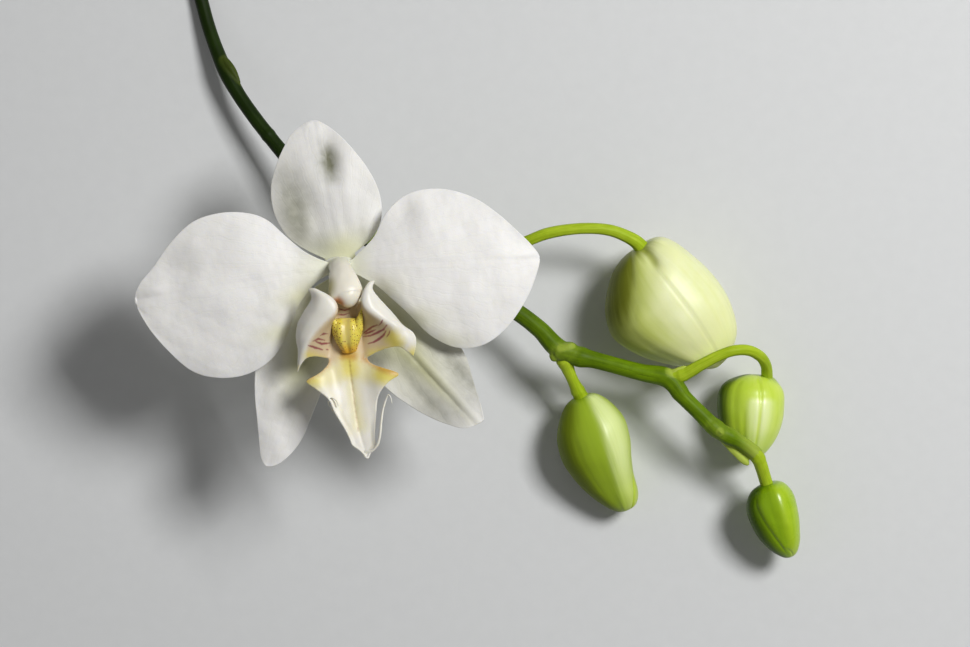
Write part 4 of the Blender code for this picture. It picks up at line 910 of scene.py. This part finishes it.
def lip_flesh():
    """Orchid lip: firmer, waxier flesh than the petals, white outside, warm cream inside.

    To the eye: satin white with crimson stripes, a yellow patch on each side lobe, orange margins on
    the arms, and a pale yellow middle with a thin brown furrow.
    """
    material, tree, skin, spot = new_material("orchid_lip_flesh")
    fray = add(tree, "ShaderNodeTexNoise", inputs={"Vector": spot, "Scale": grain(0.7), "Detail": 4.0})
    fray = add(tree, "ShaderNodeMath", {"operation": "SUBTRACT"}, {0: fray, 1: 0.5})
    cloud = add(tree, "ShaderNodeTexNoise", inputs={"Vector": spot, "Scale": grain(2.5), "Detail": 3.0})
    flesh = add(tree, *MIX, {"Factor": cloud, "A": linear("#DEDBD1"), "B": linear("#E8E5DB")})
    # Each layer holds a distance in mm into its coloured zone, frayed by the noise before it is cut
    for layer, colour, amount, soft, frayed in (
            ("cream", "#CDB58C", 0.85, 1.0, 0.5), ("ivory", "#E1D9A6", 0.85, 1.6, 0.5),
            ("yellow", "#DCCE5C", 0.85, 1.3, 0.8), ("orange", "#BC8430", 0.75, 0.8, 0.6),
            ("brown", "#8C5A22", 0.75, 0.35, 0.4), ("crimson", "#8A2340", 0.85, 0.14, 0.3)):
        depth = add(tree, "ShaderNodeAttribute", {"attribute_name": layer}).outputs["Fac"]
        depth = add(tree, *MULTIPLY_ADD, {0: fray, 1: frayed, 2: depth})
        share = add(tree, *FADE, {"Value": depth, "From Min": -soft, "From Max": soft, "To Max": amount})
        flesh = add(tree, *MIX, {"Factor": share, "A": flesh, "B": linear(colour)})
    cells = add(tree, "ShaderNodeTexVoronoi", inputs={"Vector": spot, "Scale": grain(0.2)})
    height = add(tree, *MULTIPLY_ADD, {0: cells, 1: -0.3, 2: cloud})
    bump = add(tree, "ShaderNodeBump", inputs={"Strength": 0.4, "Distance": 0.08 * MM, "Height": height})
    roughness = add(tree, *RANGE, {"Value": cloud, "To Min": 0.32, "To Max": 0.44})
    set_inputs(tree, skin, {
        "Base Color": flesh, "Roughness": roughness, "Normal": bump, "IOR": 1.42,
        "Subsurface Weight": 0.3, "Subsurface Radius": (1.2, 1.0, 0.6), "Subsurface Scale": 0.5 * MM,
    })
    return material


def callus_flesh():
    """Orchid callus: a firm, waxy yellow cushion that guides insects.

    To the eye: satin yellow, paler in its furrow and deep orange at its lower end.
    """
    material, tree, skin, spot = new_material("orchid_callus_wax")
    where = add(tree, "ShaderNodeSeparateXYZ", inputs={"Vector": spot}).outputs
    cloud = add(tree, "ShaderNodeTexNoise", inputs={"Vector": spot, "Scale": grain(0.9), "Detail": 4.0})
    wax = add(tree, *MIX, {"Factor": cloud, "A": linear("#D9C23A"), "B": linear("#E6DA6A")})
    furrow = add(tree, "ShaderNodeAttribute", {"attribute_name": "furrow"}).outputs["Fac"]
    furrow = add(tree, *MULTIPLY, {0: furrow, 1: 0.6})
    low = add(tree, *FADE, {
        "Value": where["Y"], "From Min": -18.6 * MM, "From Max": -21.4 * MM, "To Max": 0.9})
    for share, colour in ((furrow, "#D2BE78"), (low, "#D79A1E")):
        wax = add(tree, *MIX, {"Factor": share, "A": wax, "B": linear(colour)})
    bump = add(tree, "ShaderNodeBump", inputs={"Strength": 0.4, "Distance": 0.08 * MM, "Height": cloud})
    set_inputs(tree, skin, {
        "Base Color": wax, "Roughness": 0.34, "Normal": bump, "IOR": 1.45,
        "Subsurface Weight": 0.25, "Subsurface Radius": (1.2, 0.8, 0.3), "Subsurface Scale": 0.4 * MM,
    })
    return material


def plain_flesh(name, low_colour, high_colour, size, roughness, radius):
    """A material of two close colours in soft clouds, with a matching bump."""
    material, tree, skin, spot = new_material(name)
    cloud = add(tree, "ShaderNodeTexNoise", inputs={"Vector": spot, "Scale": grain(size), "Detail": 4.0})
    flesh = add(tree, *MIX, {"Factor": cloud, "A": linear(low_colour), "B": linear(high_colour)})
    bump = add(tree, "ShaderNodeBump", inputs={"Strength": 0.35, "Distance": 0.06 * MM, "Height": cloud})
    set_inputs(tree, skin, {
        "Base Color": flesh, "Roughness": roughness, "Normal": bump, "IOR": 1.43,
        "Subsurface Weight": 0.25, "Subsurface Radius": radius, "Subsurface Scale": 0.4 * MM,
    })
    return material


def column_wax():
    """Orchid column and its cap: solid waxy flesh, white at the foot and cream towards the front.

    To the eye: satin ivory, olive in the soft hollow on the left, which is painted shade over a green
    tint of its own, an orange spot by the cap and a peach rim below it.
    """
    material, tree, skin, spot = new_material("orchid_column_wax")
    where = add(tree, "ShaderNodeSeparateXYZ", inputs={"Vector": spot}).outputs
    cloud = add(tree, "ShaderNodeTexNoise", inputs={"Vector": spot, "Scale": grain(2.2), "Detail": 3.0})
    wax = add(tree, *MIX, {"Factor": cloud, "A": linear("#E2DDCB"), "B": linear("#ECE7DA")})
    foot = add(tree, *FADE, {
        "Value": where["Z"], "From Min": 44.0 * MM, "From Max": 38.0 * MM, "To Max": 0.9})
    rim = add(tree, *FADE, {
        "Value": where["Y"], "From Min": -11.2 * MM, "From Max": -12.3 * MM, "To Max": 0.6})
    layers = [(foot, "#DFDFD2"), (rim, "#F0D2AC")]
    # The olive patch in the soft hollow on the left is painted shade over a green tint; the orange spot is
    # the column's own colour
    for middle, reach, colour in (((-2.2, -4.4, 46.0), 3.2, "#9C9244"), ((0.3, -6.9, 47.2), 1.8, "#C77B32")):
        away = add(tree, "ShaderNodeVectorMath", {"operation": "DISTANCE"}, {
            0: spot, 1: tuple((FLOWER + middle) * MM)}).outputs["Value"]
        patch = add(tree, *FADE, {
            "Value": away, "From Min": reach * MM, "From Max": 0.25 * reach * MM, "To Max": 0.85})
        layers.append((patch, colour))
    for share, colour in layers:
        wax = add(tree, *MIX, {"Factor": share, "A": wax, "B": linear(colour)})
    bump = add(tree, "ShaderNodeBump", inputs={"Strength": 0.3, "Distance": 0.06 * MM, "Height": cloud})
    set_inputs(tree, skin, {
        "Base Color": wax, "Roughness": 0.36, "Normal": bump, "IOR": 1.43,
        "Subsurface Weight": 0.3, "Subsurface Radius": (1.2, 1.0, 0.6), "Subsurface Scale": 0.5 * MM,
    })
    return material


def stem_skin(name, shaded_cut_end, lit_far_end):
    """Flower stem: a smooth, waxy green skin over firm fibres, cut across at one end.

    To the eye: green, with fine lengthwise streaks, pale bracts at the joints, a soft gloss, and a pale,
    moist cut face. It is painted darker towards the cut end as shade and brighter towards the far end
    as light. Each end has a deep and a bright green.
    """
    material, tree, skin, spot = new_material(name)
    where = add(tree, "ShaderNodeSeparateXYZ", inputs={"Vector": spot}).outputs
    girth = add(tree, "ShaderNodeAttribute", {"attribute_name": "girth"}).outputs["Vector"]
    pale = add(tree, "ShaderNodeAttribute", {"attribute_name": "pale"}).outputs["Fac"]
    # Streaks: about 0.25 mm wide round a 10 mm girth, and some 4 mm long
    ring = add(tree, "ShaderNodeVectorMath", {"operation": "MULTIPLY"}, {0: girth, 1: (1.0, 1.0, 0.04)})
    streaks = add(tree, "ShaderNodeTexNoise", inputs={"Vector": ring, "Scale": 6.0, "Detail": 3.0})
    cloud = add(tree, "ShaderNodeTexNoise", inputs={"Vector": spot, "Scale": grain(6.0), "Detail": 3.0})
    # Painted light and shade: the stem is painted darker to the left, towards the cut end, and brighter to
    # the right
    lit = add(tree, *FADE, {"Value": where["X"], "From Min": -30.0 * MM, "From Max": 36.0 * MM})
    green = add(tree, *MIX, {"Factor": lit, "A": linear(shaded_cut_end[0]), "B": linear(lit_far_end[0])})
    bright = add(tree, *MIX, {"Factor": lit, "A": linear(shaded_cut_end[1]), "B": linear(lit_far_end[1])})
    share = add(tree, *MULTIPLY, {0: streaks, 1: cloud})
    share = add(tree, *RANGE, {"Value": share, "From Min": 0.12, "From Max": 0.42})
    cut = add(tree, *RANGE, {"Value": where["Y"], "From Min": 64.2 * MM, "From Max": 64.3 * MM})
    pith = add(tree, "ShaderNodeTexVoronoi", inputs={"Vector": spot, "Scale": grain(0.5)})
    pith = add(tree, *MIX, {"Factor": pith, "A": linear("#9DAA5E"), "B": linear("#D9DCA8")})
    for amount, colour in ((share, bright), (pale, linear("#AFC04E")), (cut, pith)):
        green = add(tree, *MIX, {"Factor": amount, "A": green, "B": colour})
    bump = add(tree, "ShaderNodeBump", inputs={"Strength": 0.4, "Distance": 0.06 * MM, "Height": streaks})
    roughness = add(tree, *RANGE, {"Value": cloud, "To Min": 0.42, "To Max": 0.56})
    set_inputs(tree, skin, {
        "Base Color": green, "Roughness": roughness, "Normal": bump, "IOR": 1.45, "Specular IOR Level": 0.14,
        "Subsurface Weight": 0.12, "Subsurface Radius": (0.6, 1.0, 0.2), "Subsurface Scale": 0.5 * MM,
    })
    return material


def bud_skin(name, seat, foot_colour, middle_colours, ridge_highlight_colour, tip_colour, seam_shade_colour, flank_shade_colour,
             deep_shade_colour, roughness, coat):
    """Closed orchid bud: young sepals folded tight, with a thin wax bloom.

    To the eye: yellow-green, cloudy, with faint lengthwise streaks, deeper green where the stalk joins,
    and glossier the younger the bud is. Painted on top: a pale highlight on the ridges, darker green
    down the seams, their own green with painted shade in the deeper creases, and a greener flank and a
    deep green side that are painted shade away from the light, over a greener tone of the bud's own.
    """
    material, tree, skin, spot = new_material(name)
    place = add(tree, "ShaderNodeAttribute", {"attribute_name": "place"}).outputs["Fac"]
    crease = add(tree, "ShaderNodeAttribute", {"attribute_name": "crease"}).outputs["Fac"]
    girth = add(tree, "ShaderNodeAttribute", {"attribute_name": "girth"}).outputs["Vector"]
    cloud = add(tree, "ShaderNodeTexNoise", inputs={
        "Vector": spot, "Scale": grain(5.0), "Detail": 4.0, "Roughness": 0.55})
    # Streaks: about 1.4 mm wide on the largest bud, with finer ones between, and nine times as long
    ring = add(tree, "ShaderNodeVectorMath", {"operation": "MULTIPLY"}, {0: girth, 1: (1.0, 1.0, 0.3)})
    streaks = add(tree, "ShaderNodeTexNoise", inputs={"Vector": ring, "Scale": 8.0, "Detail": 3.0})
    cloudy = add(tree, "ShaderNodeMath", {"operation": "ADD"}, {0: cloud, 1: streaks})
    cloudy = add(tree, *RANGE, {"Value": cloudy, "From Min": 0.55, "From Max": 1.5})
    dull, bright = middle_colours
    flesh = add(tree, *MIX, {"Factor": cloudy, "A": linear(dull), "B": linear(bright)})
    # Painted highlight: the raised ridges are painted pale
    ridge_highlight = add(tree, *FADE, {"Value": crease, "From Min": 0.02, "From Max": 0.4, "To Max": 0.75})
    tip = add(tree, *FADE, {"Value": place, "From Min": 0.45, "From Max": 1.0, "To Max": 0.8})
    # The painted shade layer's first third is the greener flank, and the rest is the deep green beyond
    # it: both are painted shade on the side away from the light, over a greener tone of the bud's own.
    # The streaks make the edges of both ragged
    shade = add(tree, "ShaderNodeAttribute", {"attribute_name": "shade"}).outputs["Fac"]
    ragged = add(tree, *MULTIPLY_ADD, {0: streaks, 1: 0.3, 2: shade})
    flank_shade = add(tree, *RANGE, {"Value": ragged, "From Min": 0.15, "From Max": 0.5, "To Max": 0.9})
    deep_shade = add(tree, *RANGE, {"Value": ragged, "From Min": 0.5, "From Max": 1.15, "To Max": 0.92})
    away = add(tree, "ShaderNodeVectorMath", {"operation": "DISTANCE"}, {
        0: spot, 1: tuple(size * MM for size in seat[:3])}).outputs["Value"]
    away = add(tree, *MULTIPLY_ADD, {0: streaks, 1: -2.0 * MM, 2: away})
    foot = add(tree, *FADE, {
        "Value": away, "From Min": seat[3] * MM, "From Max": 0.3 * MM, "To Max": 0.85})
    # The seams are painted darker by crease depth: their own green, with painted shade in the deeper creases
    seams = add(tree, *FADE, {"Value": crease, "From Min": -0.1, "From Max": -0.75, "To Max": 0.85})
    for share, colour in ((ridge_highlight, ridge_highlight_colour), (tip, tip_colour), (flank_shade, flank_shade_colour),
                          (deep_shade, deep_shade_colour), (foot, foot_colour), (seams, seam_shade_colour)):
        flesh = add(tree, *MIX, {"Factor": share, "A": flesh, "B": linear(colour)})
    grainy = add(tree, "ShaderNodeTexNoise", inputs={"Vector": spot, "Scale": grain(0.5), "Detail": 2.0})
    height = add(tree, *MULTIPLY_ADD, {0: grainy, 1: 0.3, 2: cloud})
    bump = add(tree, "ShaderNodeBump", inputs={"Strength": 0.35, "Distance": 0.1 * MM, "Height": height})
    gloss = add(tree, *RANGE, {"Value": cloud, "To Min": roughness - 0.06, "To Max": roughness + 0.08})
    # Where the painted shade lies the bud mirrors less and takes less coat, so that side stays dark
    mirror = add(tree, *RANGE, {"Value": shade, "To Min": 0.5, "To Max": 0.12})
    wax = add(tree, *RANGE, {"Value": shade, "To Min": coat, "To Max": 0.0})
    set_inputs(tree, skin, {
        "Base Color": flesh, "Roughness": gloss, "Normal": bump, "IOR": 1.45, "Specular IOR Level": mirror,
        "Coat Weight": wax, "Coat Roughness": 0.34, "Subsurface Weight": 0.15,
        "Subsurface Radius": (0.8, 1.0, 0.2), "Subsurface Scale": 0.8 * MM,
    })
    return material


def studio_paper():
    """Matt paper sweep: pale grey, with the faint fibre of uncoated stock."""
    return plain_flesh("pale_studio_paper", "#D2D3D3", "#D7D8D8", 3.0, 0.85, (1.0, 1.0, 1.0))


# The flower

def patches(spots, ahead, left, along, across):
    """Soft round patches, given from the flower's middle, as one value over a blade."""
    total = np.zeros(np.broadcast(along, across).shape)
    for x, y, across_radius, along_radius, amount in spots:
        middle = np.array((x, y, 0.0))
        u = (across - middle @ left) / across_radius
        v = (along + CLAW_START - middle @ ahead) / along_radius
        total = total + amount * np.exp(-(u ** 2 + v ** 2))
    return total


def blade_piece(name, spec):
    """A petal or sepal on the same formulas as the solid, with its claw drawn in to the middle."""
    angle = math.radians(spec["angle"])
    ahead = np.array((math.cos(angle), math.sin(angle), 0.0))
    left = np.cross(UP, ahead)
    rings, columns = spec["grid"]
    claw = 1.0 / (len(spec["rows"]) - 1)
    t = np.linspace(-claw, 1.0, rings)[:, None]
    u = np.linspace(-1.0, 1.0, columns)[None, :]
    side = 1.5 * u - 0.5 * u ** 3
    rows = curve(spec["rows"], np.maximum(t, 0.0), widths=2)
    along, height, left_width, right_width = (rows[..., k] for k in range(4))
    inner = np.minimum(t, 0.0) / claw
    along = along + inner * CLAW_REACH
    height = height + inner * CLAW_DROP
    half = np.abs(np.where(side > 0, left_width, right_width))
    across = side * half
    wave_depth, wave_count, wave_phase = spec["wave"]
    turn = math.tau * wave_count * t + wave_phase + np.where(side > 0, math.pi / 2, 0.0)
    shown = np.clip(t, 0.0, 1.0)
    wave = wave_depth * np.abs(side) ** 3 * np.sin(turn) * np.sqrt(np.abs(np.sin(math.pi * shown)))
    rolled = 0.0
    if spec["roll"]:
        which, centre, spread, width, depth = spec["roll"]
        inward = (1 - np.abs(side)) * half
        rolled = depth * np.maximum(0.0, 1 - inward / width) ** 2 * np.exp(-((t - centre) / spread) ** 4)
        rolled = rolled * (side * which > 0)
    flat = FLOWER + ahead * (CLAW_START + along)[..., None] + left * across[..., None]
    seed = sum(map(ord, name))
    open_part = smoothstep(0.0, 8.0, along) * smoothstep(0.0, 2.5, np.maximum(left_width, right_width))
    # The swells, and an unevenness in waves of 9, 3.2 and 1.5 mm
    relief = patches(spec["swells"], ahead, left, along, across)
    relief = relief + 0.22 * ripple(flat, 9.0, seed) + 0.05 * ripple(flat, 3.2, seed + 1)
    relief = relief + 0.02 * ripple(flat, 1.5, seed + 2)
    # The midrib: a fine furrow in front, with softly raised flanks, that deepens at the pinched tip
    tip = smoothstep(0.86, 1.0, t)
    midrib = -(0.06 + 0.14 * tip) * np.exp(-(across / (0.5 + 0.3 * tip)) ** 2)
    midrib = midrib + 0.07 * np.exp(-(across / 1.8) ** 2)
    lift = height - spec["fall"] * (across / 10) ** 2 + wave - rolled + (relief + midrib) * open_part
    grid = flat + UP * lift[..., None]
    # The back is thicker along the midrib, and this fades out towards the tip
    keel = 0.35 * np.exp(-(across / 0.7) ** 2) + 0.1 * np.exp(-(across / 2.0) ** 2)
    keel = keel * smoothstep(1.0, 0.5, t)
    vein_lane = across / (0.9 * np.maximum(along, -2.0) + 3.0) ** 0.85
    chart = np.stack(np.broadcast_arrays(along, vein_lane, side), -1)
    layers = {
        "blade_chart": chart,
        "soaked_and_shade": patches(spec["soaked_and_shade"], ahead, left, along, across),
        "painted_green_shade": patches(spec["painted_green_shade"], ahead, left, along, across),
    }
    return sheet_piece(name, grid, PETAL_WALL, layers, keel)


def lip_middle():
    """The lip's middle lobe: claw, arms, and the trough that narrows towards the tendrils."""
    t = np.linspace(0, 1, 190)[:, None]
    u = np.linspace(-1, 1, 76)[None, :]
    side = 1.5 * u - 0.5 * u ** 3
    rows = curve(LIP_ROWS, t, widths=2)
    x, y, height, left_width, right_width = (rows[..., k] for k in range(5))
    across = side * np.where(side > 0, right_width, left_width)
    # Below the callus the middle lobe is a V-shaped trough with a fine furrow down its middle, and
    # its margins turn up at the end
    low = smoothstep(-18.5, -23.0, y)
    trough = 0.21 * (np.sqrt(across ** 2 + 0.12) - 0.35) - 0.12 * np.exp(-(across / 0.26) ** 2)
    trough = trough * smoothstep(9.5, 4.5, np.abs(across))
    arms = 3.0 * smoothstep(2.5, 9.5, np.abs(across))
    rim = 0.35 * smoothstep(0.7, 1.0, np.abs(side)) * smoothstep(-29.0, -33.5, y)
    lift = height - LIP_FALL * (across / 10) ** 2 + low * trough + arms + rim
    points = np.stack(np.broadcast_arrays(x + across, y, lift), -1)
    points = points + UP * (0.06 * ripple(points, 3.5, 31))[..., None]
    layers = {"sheet": np.zeros(points.shape[:2]), "reach": np.zeros(points.shape[:2])}
    return sheet_piece("lip_middle", FLOWER + points, LIP_WALL, layers)


def lip_lobe(name, net, number):
    """A side lobe of the lip: a smooth sheet through its net of points."""
    t = np.linspace(0, 1, 96)
    s = np.linspace(0, 1, 84)
    across = np.stack([curve(row, s) for row in net])
    points = curve(across.reshape(len(net), -1), t).reshape(len(t), len(s), 3)
    points = points + UP * (0.05 * ripple(points, 3.0, 40 + number))[..., None]
    layers = {
        "sheet": np.full(points.shape[:2], float(number)),
        "reach": np.broadcast_to(s[None, :], points.shape[:2]),
    }
    return sheet_piece(name, FLOWER + points, LIP_WALL, layers)


def paint_lip(lip, sources):
    """Each layer tells how far (mm) a point lies inside a coloured zone, below zero outside it.

    sources are the points of the sheets before they grew together, then the sheet that each belongs
    to, how far up the sheet it lies (0 to 1) and whether it is on the front.
    """
    points, _ = read_points(lip.data)
    found = nearest_points(points, sources[0])
    sheet, reach, front = (values[found] for values in sources[1:])
    spots = (points - FLOWER)[:, :2]
    inside = smoothstep(0.62, 0.42, reach) * (sheet > 0.5) * front
    claw = (sheet < 0.5) * smoothstep(-23.0, -16.5, spots[:, 1]) * front

    def zone(routes, mask, tapered=0.0):
        depths = []
        for route, width in routes:
            distance, share = route_distance(spots, route)
            depths.append(width * (1 - tapered + tapered * np.sin(math.pi * share)) - distance)
        return np.where(mask > 0.4, np.maximum(np.max(depths, axis=0), FAR_OUTSIDE), FAR_OUTSIDE)

    on_lobe = (sheet > 0.5) * front
    middle = (sheet < 0.5) * front
    # The cream has no routes: its share of 0 to 1 is turned into -1.4 to 1 mm
    layers = {
        "cream": np.maximum(inside, claw) * 2.4 - 1.4,
        "ivory": zone(IVORY_ZONES, middle),
        "yellow": zone(YELLOW_ZONES, front),
        "orange": zone(ORANGE_ZONES, middle),
        "brown": zone(BROWN_ZONES, middle),
        "crimson": zone(CRIMSON_STRIPES, np.maximum(np.where(reach < 0.6, on_lobe, 0.0), claw), tapered=0.65),
    }
    for layer, values in layers.items():
        give_layer(lip.data, layer, values)


def build_lip(skin, wax, dot_skin, pods, tubes):
    sheets = [lip_middle(), lip_lobe("lip_left", LEFT_LOBE, 1), lip_lobe("lip_right", RIGHT_LOBE, 2)]
    sources = [np.concatenate([read_points(piece.data)[0] for piece in sheets])]
    for layer in ("sheet", "reach", "front"):
        sources.append(np.concatenate([read_layer(piece.data, layer) for piece in sheets]))
    lip = fused("lip_blade", sheets, voxel=0.15, smoothing=5)
    paint_lip(lip, sources)
    dress(lip, "lip_white", "lip", skin=skin)

    line = [tuple(FLOWER + point) for point in CALLUS_LINE]
    body = pod_piece("callus_body", line, CALLUS_ROWS, RIGHT, pods, wax, rings=80, creases=CALLUS_CREASES)
    horns = []
    for number, (foot, tip, radius) in enumerate(CALLUS_HORNS):
        rows = [(0.0, 0.0, 0.0, 0.0, 0.0), (0.06, *[radius] * 4), (0.4, *[radius * 0.72] * 4),
                (0.75, *[radius * 0.36] * 4), (1.0, 0.0, 0.0, 0.0, 0.0)]
        line = [FLOWER + foot, FLOWER + tip]
        across = np.cross(UP, line[1] - line[0])
        horns.append(pod_piece(f"horn_{number}", line, rows, across, pods, wax, sides=24, rings=30))
    callus = fused("callus", [body] + horns, voxel=0.11, smoothing=6)
    points, normals = read_points(callus.data)
    spots = points - FLOWER
    aside = np.abs(spots[:, 0] - CALLUS_MIDDLE)
    furrow = smoothstep(1.1, 0.5, aside) * smoothstep(-16.5, -14.5, spots[:, 1])
    # Speckles lie where the surface faces up, beside the furrow and, less densely, below it
    speckled = np.maximum(smoothstep(0.55, 1.0, aside), 0.6 * smoothstep(-13.5, -15.0, spots[:, 1]))
    speckled = speckled * (normals[:, 2] > 0.1) * smoothstep(-17.2, -16.2, spots[:, 1])
    give_layer(callus.data, "furrow", furrow)
    give_layer(callus.data, "speckled", speckled)
    dress(callus, "lip_white", "lip", skin=wax)
    dots = grow("callus_speckles", callus.data.copy(), speckle_tree(), {"Skin": dot_skin})
    dress(link_piece("callus_speckles", dots), "lip_white", "lip")

    for number, route in enumerate(TENDRILS):
        route = [(*(FLOWER + row[:3]), row[3]) for row in route]
        tendril = tube_piece(f"tendril_{number + 1}", route, tubes, skin, ring_spacing=0.12 * MM, sides=14,
                             rib_height=0.0, unevenness=0.08 * MM, bump_size=0.9 * MM)
        # The tendrils are faintly tinged with the lip's yellow and have none of its other colours
        for layer in ("ivory", "yellow", "orange", "brown", "crimson", "cream"):
            depth = -1.0 if layer == "yellow" else FAR_OUTSIDE
            give_layer(tendril.data, layer, np.full(len(tendril.data.vertices), depth))
        dress(tendril, "lip_white", "lip")


def build_flower(pods, tubes):
    petal = petal_skin()
    for name, spec in BLADES.items():
        dress(blade_piece(name + "_bloom", spec), "petal_white", name, skin=petal)
    # Speckles: small raised warts of the waxy skin, with a dark red-brown pigment
    dots = plain_flesh("crimson_speckle", "#6E1F10", "#8A3418", 0.3, 0.4, (0.6, 0.3, 0.2))
    build_lip(lip_flesh(), callus_flesh(), dots, pods, tubes)
    wax = column_wax()
    for name, line, rows, creases in (("column", COLUMN_LINE, COLUMN_ROWS, COLUMN_CREASES),
                                      ("anther_cap", CAP_LINE, CAP_ROWS, CAP_CREASES)):
        line = [tuple(FLOWER + point) for point in line]
        piece = pod_piece(name + "_form", line, rows, RIGHT, pods, wax, sides=84, rings=90,
                          creases=creases, rough=(0.03, 2.0))
        dress(piece, "column_cream", name)


# The stem and the buds

def build_stem(pods, tubes):
    # The spike is painted near black at its cut end as shade and brighter at its far end as light
    skin = stem_skin("orchid_stem_skin", ("#122002", "#1E3004"), ("#4E6804", "#6F8E08"))
    stalk_green = stem_skin("orchid_stalk_skin", ("#8AA112", "#A9BE28"), ("#8FA812", "#B2C832"))
    # The stem and its scales are one growth, so they are fused; then each point looks up its place
    # round and along the stem, and how pale it is, from the nearest points of what it was made from.
    # The stem itself turns pale towards its far end
    grown = [tube_piece("spike_stem", STEM, tubes, skin, COLLARS["spike"], samples=700, sides=44)]
    stem_points, _ = read_points(grown[0].data)
    girth = read_layer(grown[0].data, "girth")
    sources = [stem_points]
    paleness = [0.7 * smoothstep(53.5, 59.0, stem_points[:, 0])]
    for number, (foot, tip, half_width, half_thickness, blunt, pale) in enumerate(SCALES):
        sizes = (half_width, half_width, half_thickness, half_thickness)
        rows = [(0.0, 0.0, 0.0, 0.0, 0.0), (0.05, *[0.8 * size for size in sizes]), (0.45, *sizes),
                (0.85, *[blunt * size for size in sizes]), (1.0, 0.0, 0.0, 0.0, 0.0)]
        across = np.cross(UP, np.array(tip) - np.array(foot))
        scale = pod_piece(f"scale_{number + 1}", [foot, tip], rows, across, pods, skin, sides=32, rings=36,
                          creases=[(90, 90, 0.1, 1.0, 9, 0.12)], rough=(0.04, 1.2))
        grown.append(scale)
        points, _ = read_points(scale.data)
        sources.append(points)
        paleness.append(np.full(len(points), pale))
    stem = fused("spike_stem", grown, voxel=0.2, smoothing=4)
    points, _ = read_points(stem.data)
    give_layer(stem.data, "girth", girth[nearest_points(points, stem_points)])
    around = nearest_points(points, np.concatenate(sources), 24)
    give_layer(stem.data, "pale", np.concatenate(paleness)[around].mean(axis=1))
    dress(stem, "stem_green", "spike", skin=skin)
    for name, route in STALKS.items():
        stalk = tube_piece(name + "_skin", route, tubes, stalk_green, COLLARS[name], sides=32,
                           ring_spacing=0.3 * MM)
        dress(stalk, "stem_green", name)


def build_buds(pods):
    # Colours of the foot, of the middle from deep to pale, the painted highlight of the ridges, the tip,
    # the seams with painted shade in their creases, and the greener flank and the deep green side, both
    # painted shade, then the roughness and the coat
    looks = {
        "bud_1": ("#848C1C", ("#E0E5A0", "#EEF1C6"), "#E6EAAA", "#E6E8A4", "#98A040", "#BCC75C", "#5A6006",
                  0.42, 0.1),
        "bud_2": ("#7F9A10", ("#A2BC26", "#BDD14A"), "#E9F3B2", "#B4C844", "#71890E", "#94AE22", "#62700C",
                  0.42, 0.2),
        "bud_3": ("#6E9008", ("#BAD338", "#D2E364"), "#F2F8C8", "#C0D840", "#5E800C", "#B4CE38", "#466002",
                  0.36, 0.4),
        "bud_4": ("#5F8406", ("#92B40C", "#B0CC20"), "#C6DC4C", "#AAC424", "#4A6C06", "#7EA008", "#3A5402",
                  0.28, 0.35),
    }
    for name, spec in BUDS.items():
        line = np.array(spec["line"])
        across = np.cross(UP, line[1] - line[0])
        skin = bud_skin(name + "_skin", spec["seat"], *looks[name])
        bud = pod_piece(name + "_closed", line, spec["rows"], across, pods, skin, sides=128, rings=120,
                        seams=spec["seams"], creases=spec["creases"], rough=(0.05, 4.5))
        place, turn = read_layer(bud.data, "place"), np.degrees(read_layer(bud.data, "turn"))
        at_foot, beyond, until, softness, faded = spec["lobe"]
        # The painted shade's greener flank is 38 degrees wide, and the shade runs out again on the back
        begins = at_foot + (beyond - at_foot) * np.clip(place / until, 0, 1)
        flank_shade = smoothstep(begins - 38, begins, turn) * smoothstep(faded + 0.35, faded - 0.15, place)
        deep_shade = smoothstep(0, softness, turn - begins) * smoothstep(faded, faded - 0.4, place)
        shade = 0.35 * flank_shade + 0.65 * deep_shade
        give_layer(bud.data, "shade", shade * smoothstep(267, 212, turn))
        dress(bud, "bud_pale" if name == "bud_1" else "bud_green", name)


# Camera, floor and light

def build_studio():
    scene = bpy.context.scene
    camera_data = bpy.data.cameras.new("camera")
    camera_data.sensor_width = 36.0
    camera_data.lens = 100.23
    camera_data.clip_start = 0.01
    camera = link_piece("camera", camera_data)
    camera.location = (0.0018, -0.0153, 0.578)
    scene.camera = camera
    scene.view_settings.view_transform = "Standard"

    bm = bmesh.new()
    bmesh.ops.create_grid(bm, x_segments=1, y_segments=1, size=3.0)
    for vertex in bm.verts:
        vertex.co.z = -0.03 * MM
    floor_mesh = bpy.data.meshes.new("floor")
    bm.to_mesh(floor_mesh)
    bm.free()
    floor = link_piece("floor", floor_mesh)
    floor_mesh.materials.append(studio_paper())

    for name, spot, size, power in (
            ("key_softbox", (0.37, 0.22, 0.64), 0.22, 5.3), ("fill_softbox", (-0.55, -0.2, 0.6), 0.5, 0.25)):
        light_data = bpy.data.lights.new(name, "AREA")
        light_data.size = size
        light_data.energy = power
        light = link_piece(name, light_data)
        light.location = spot
        light.rotation_euler = (-Vector(spot)).to_track_quat("-Z", "Y").to_euler()

    world = bpy.data.worlds.new("soft_room")
    world.use_nodes = True
    world.node_tree.nodes["Background"].inputs["Color"].default_value = linear("#E0E0E0")
    world.node_tree.nodes["Background"].inputs["Strength"].default_value = 0.2
    scene.world = world


build_studio()
pods, tubes = pod_tree(), stalk_tree()
build_flower(pods, tubes)
build_stem(pods, tubes)
build_buds(pods)
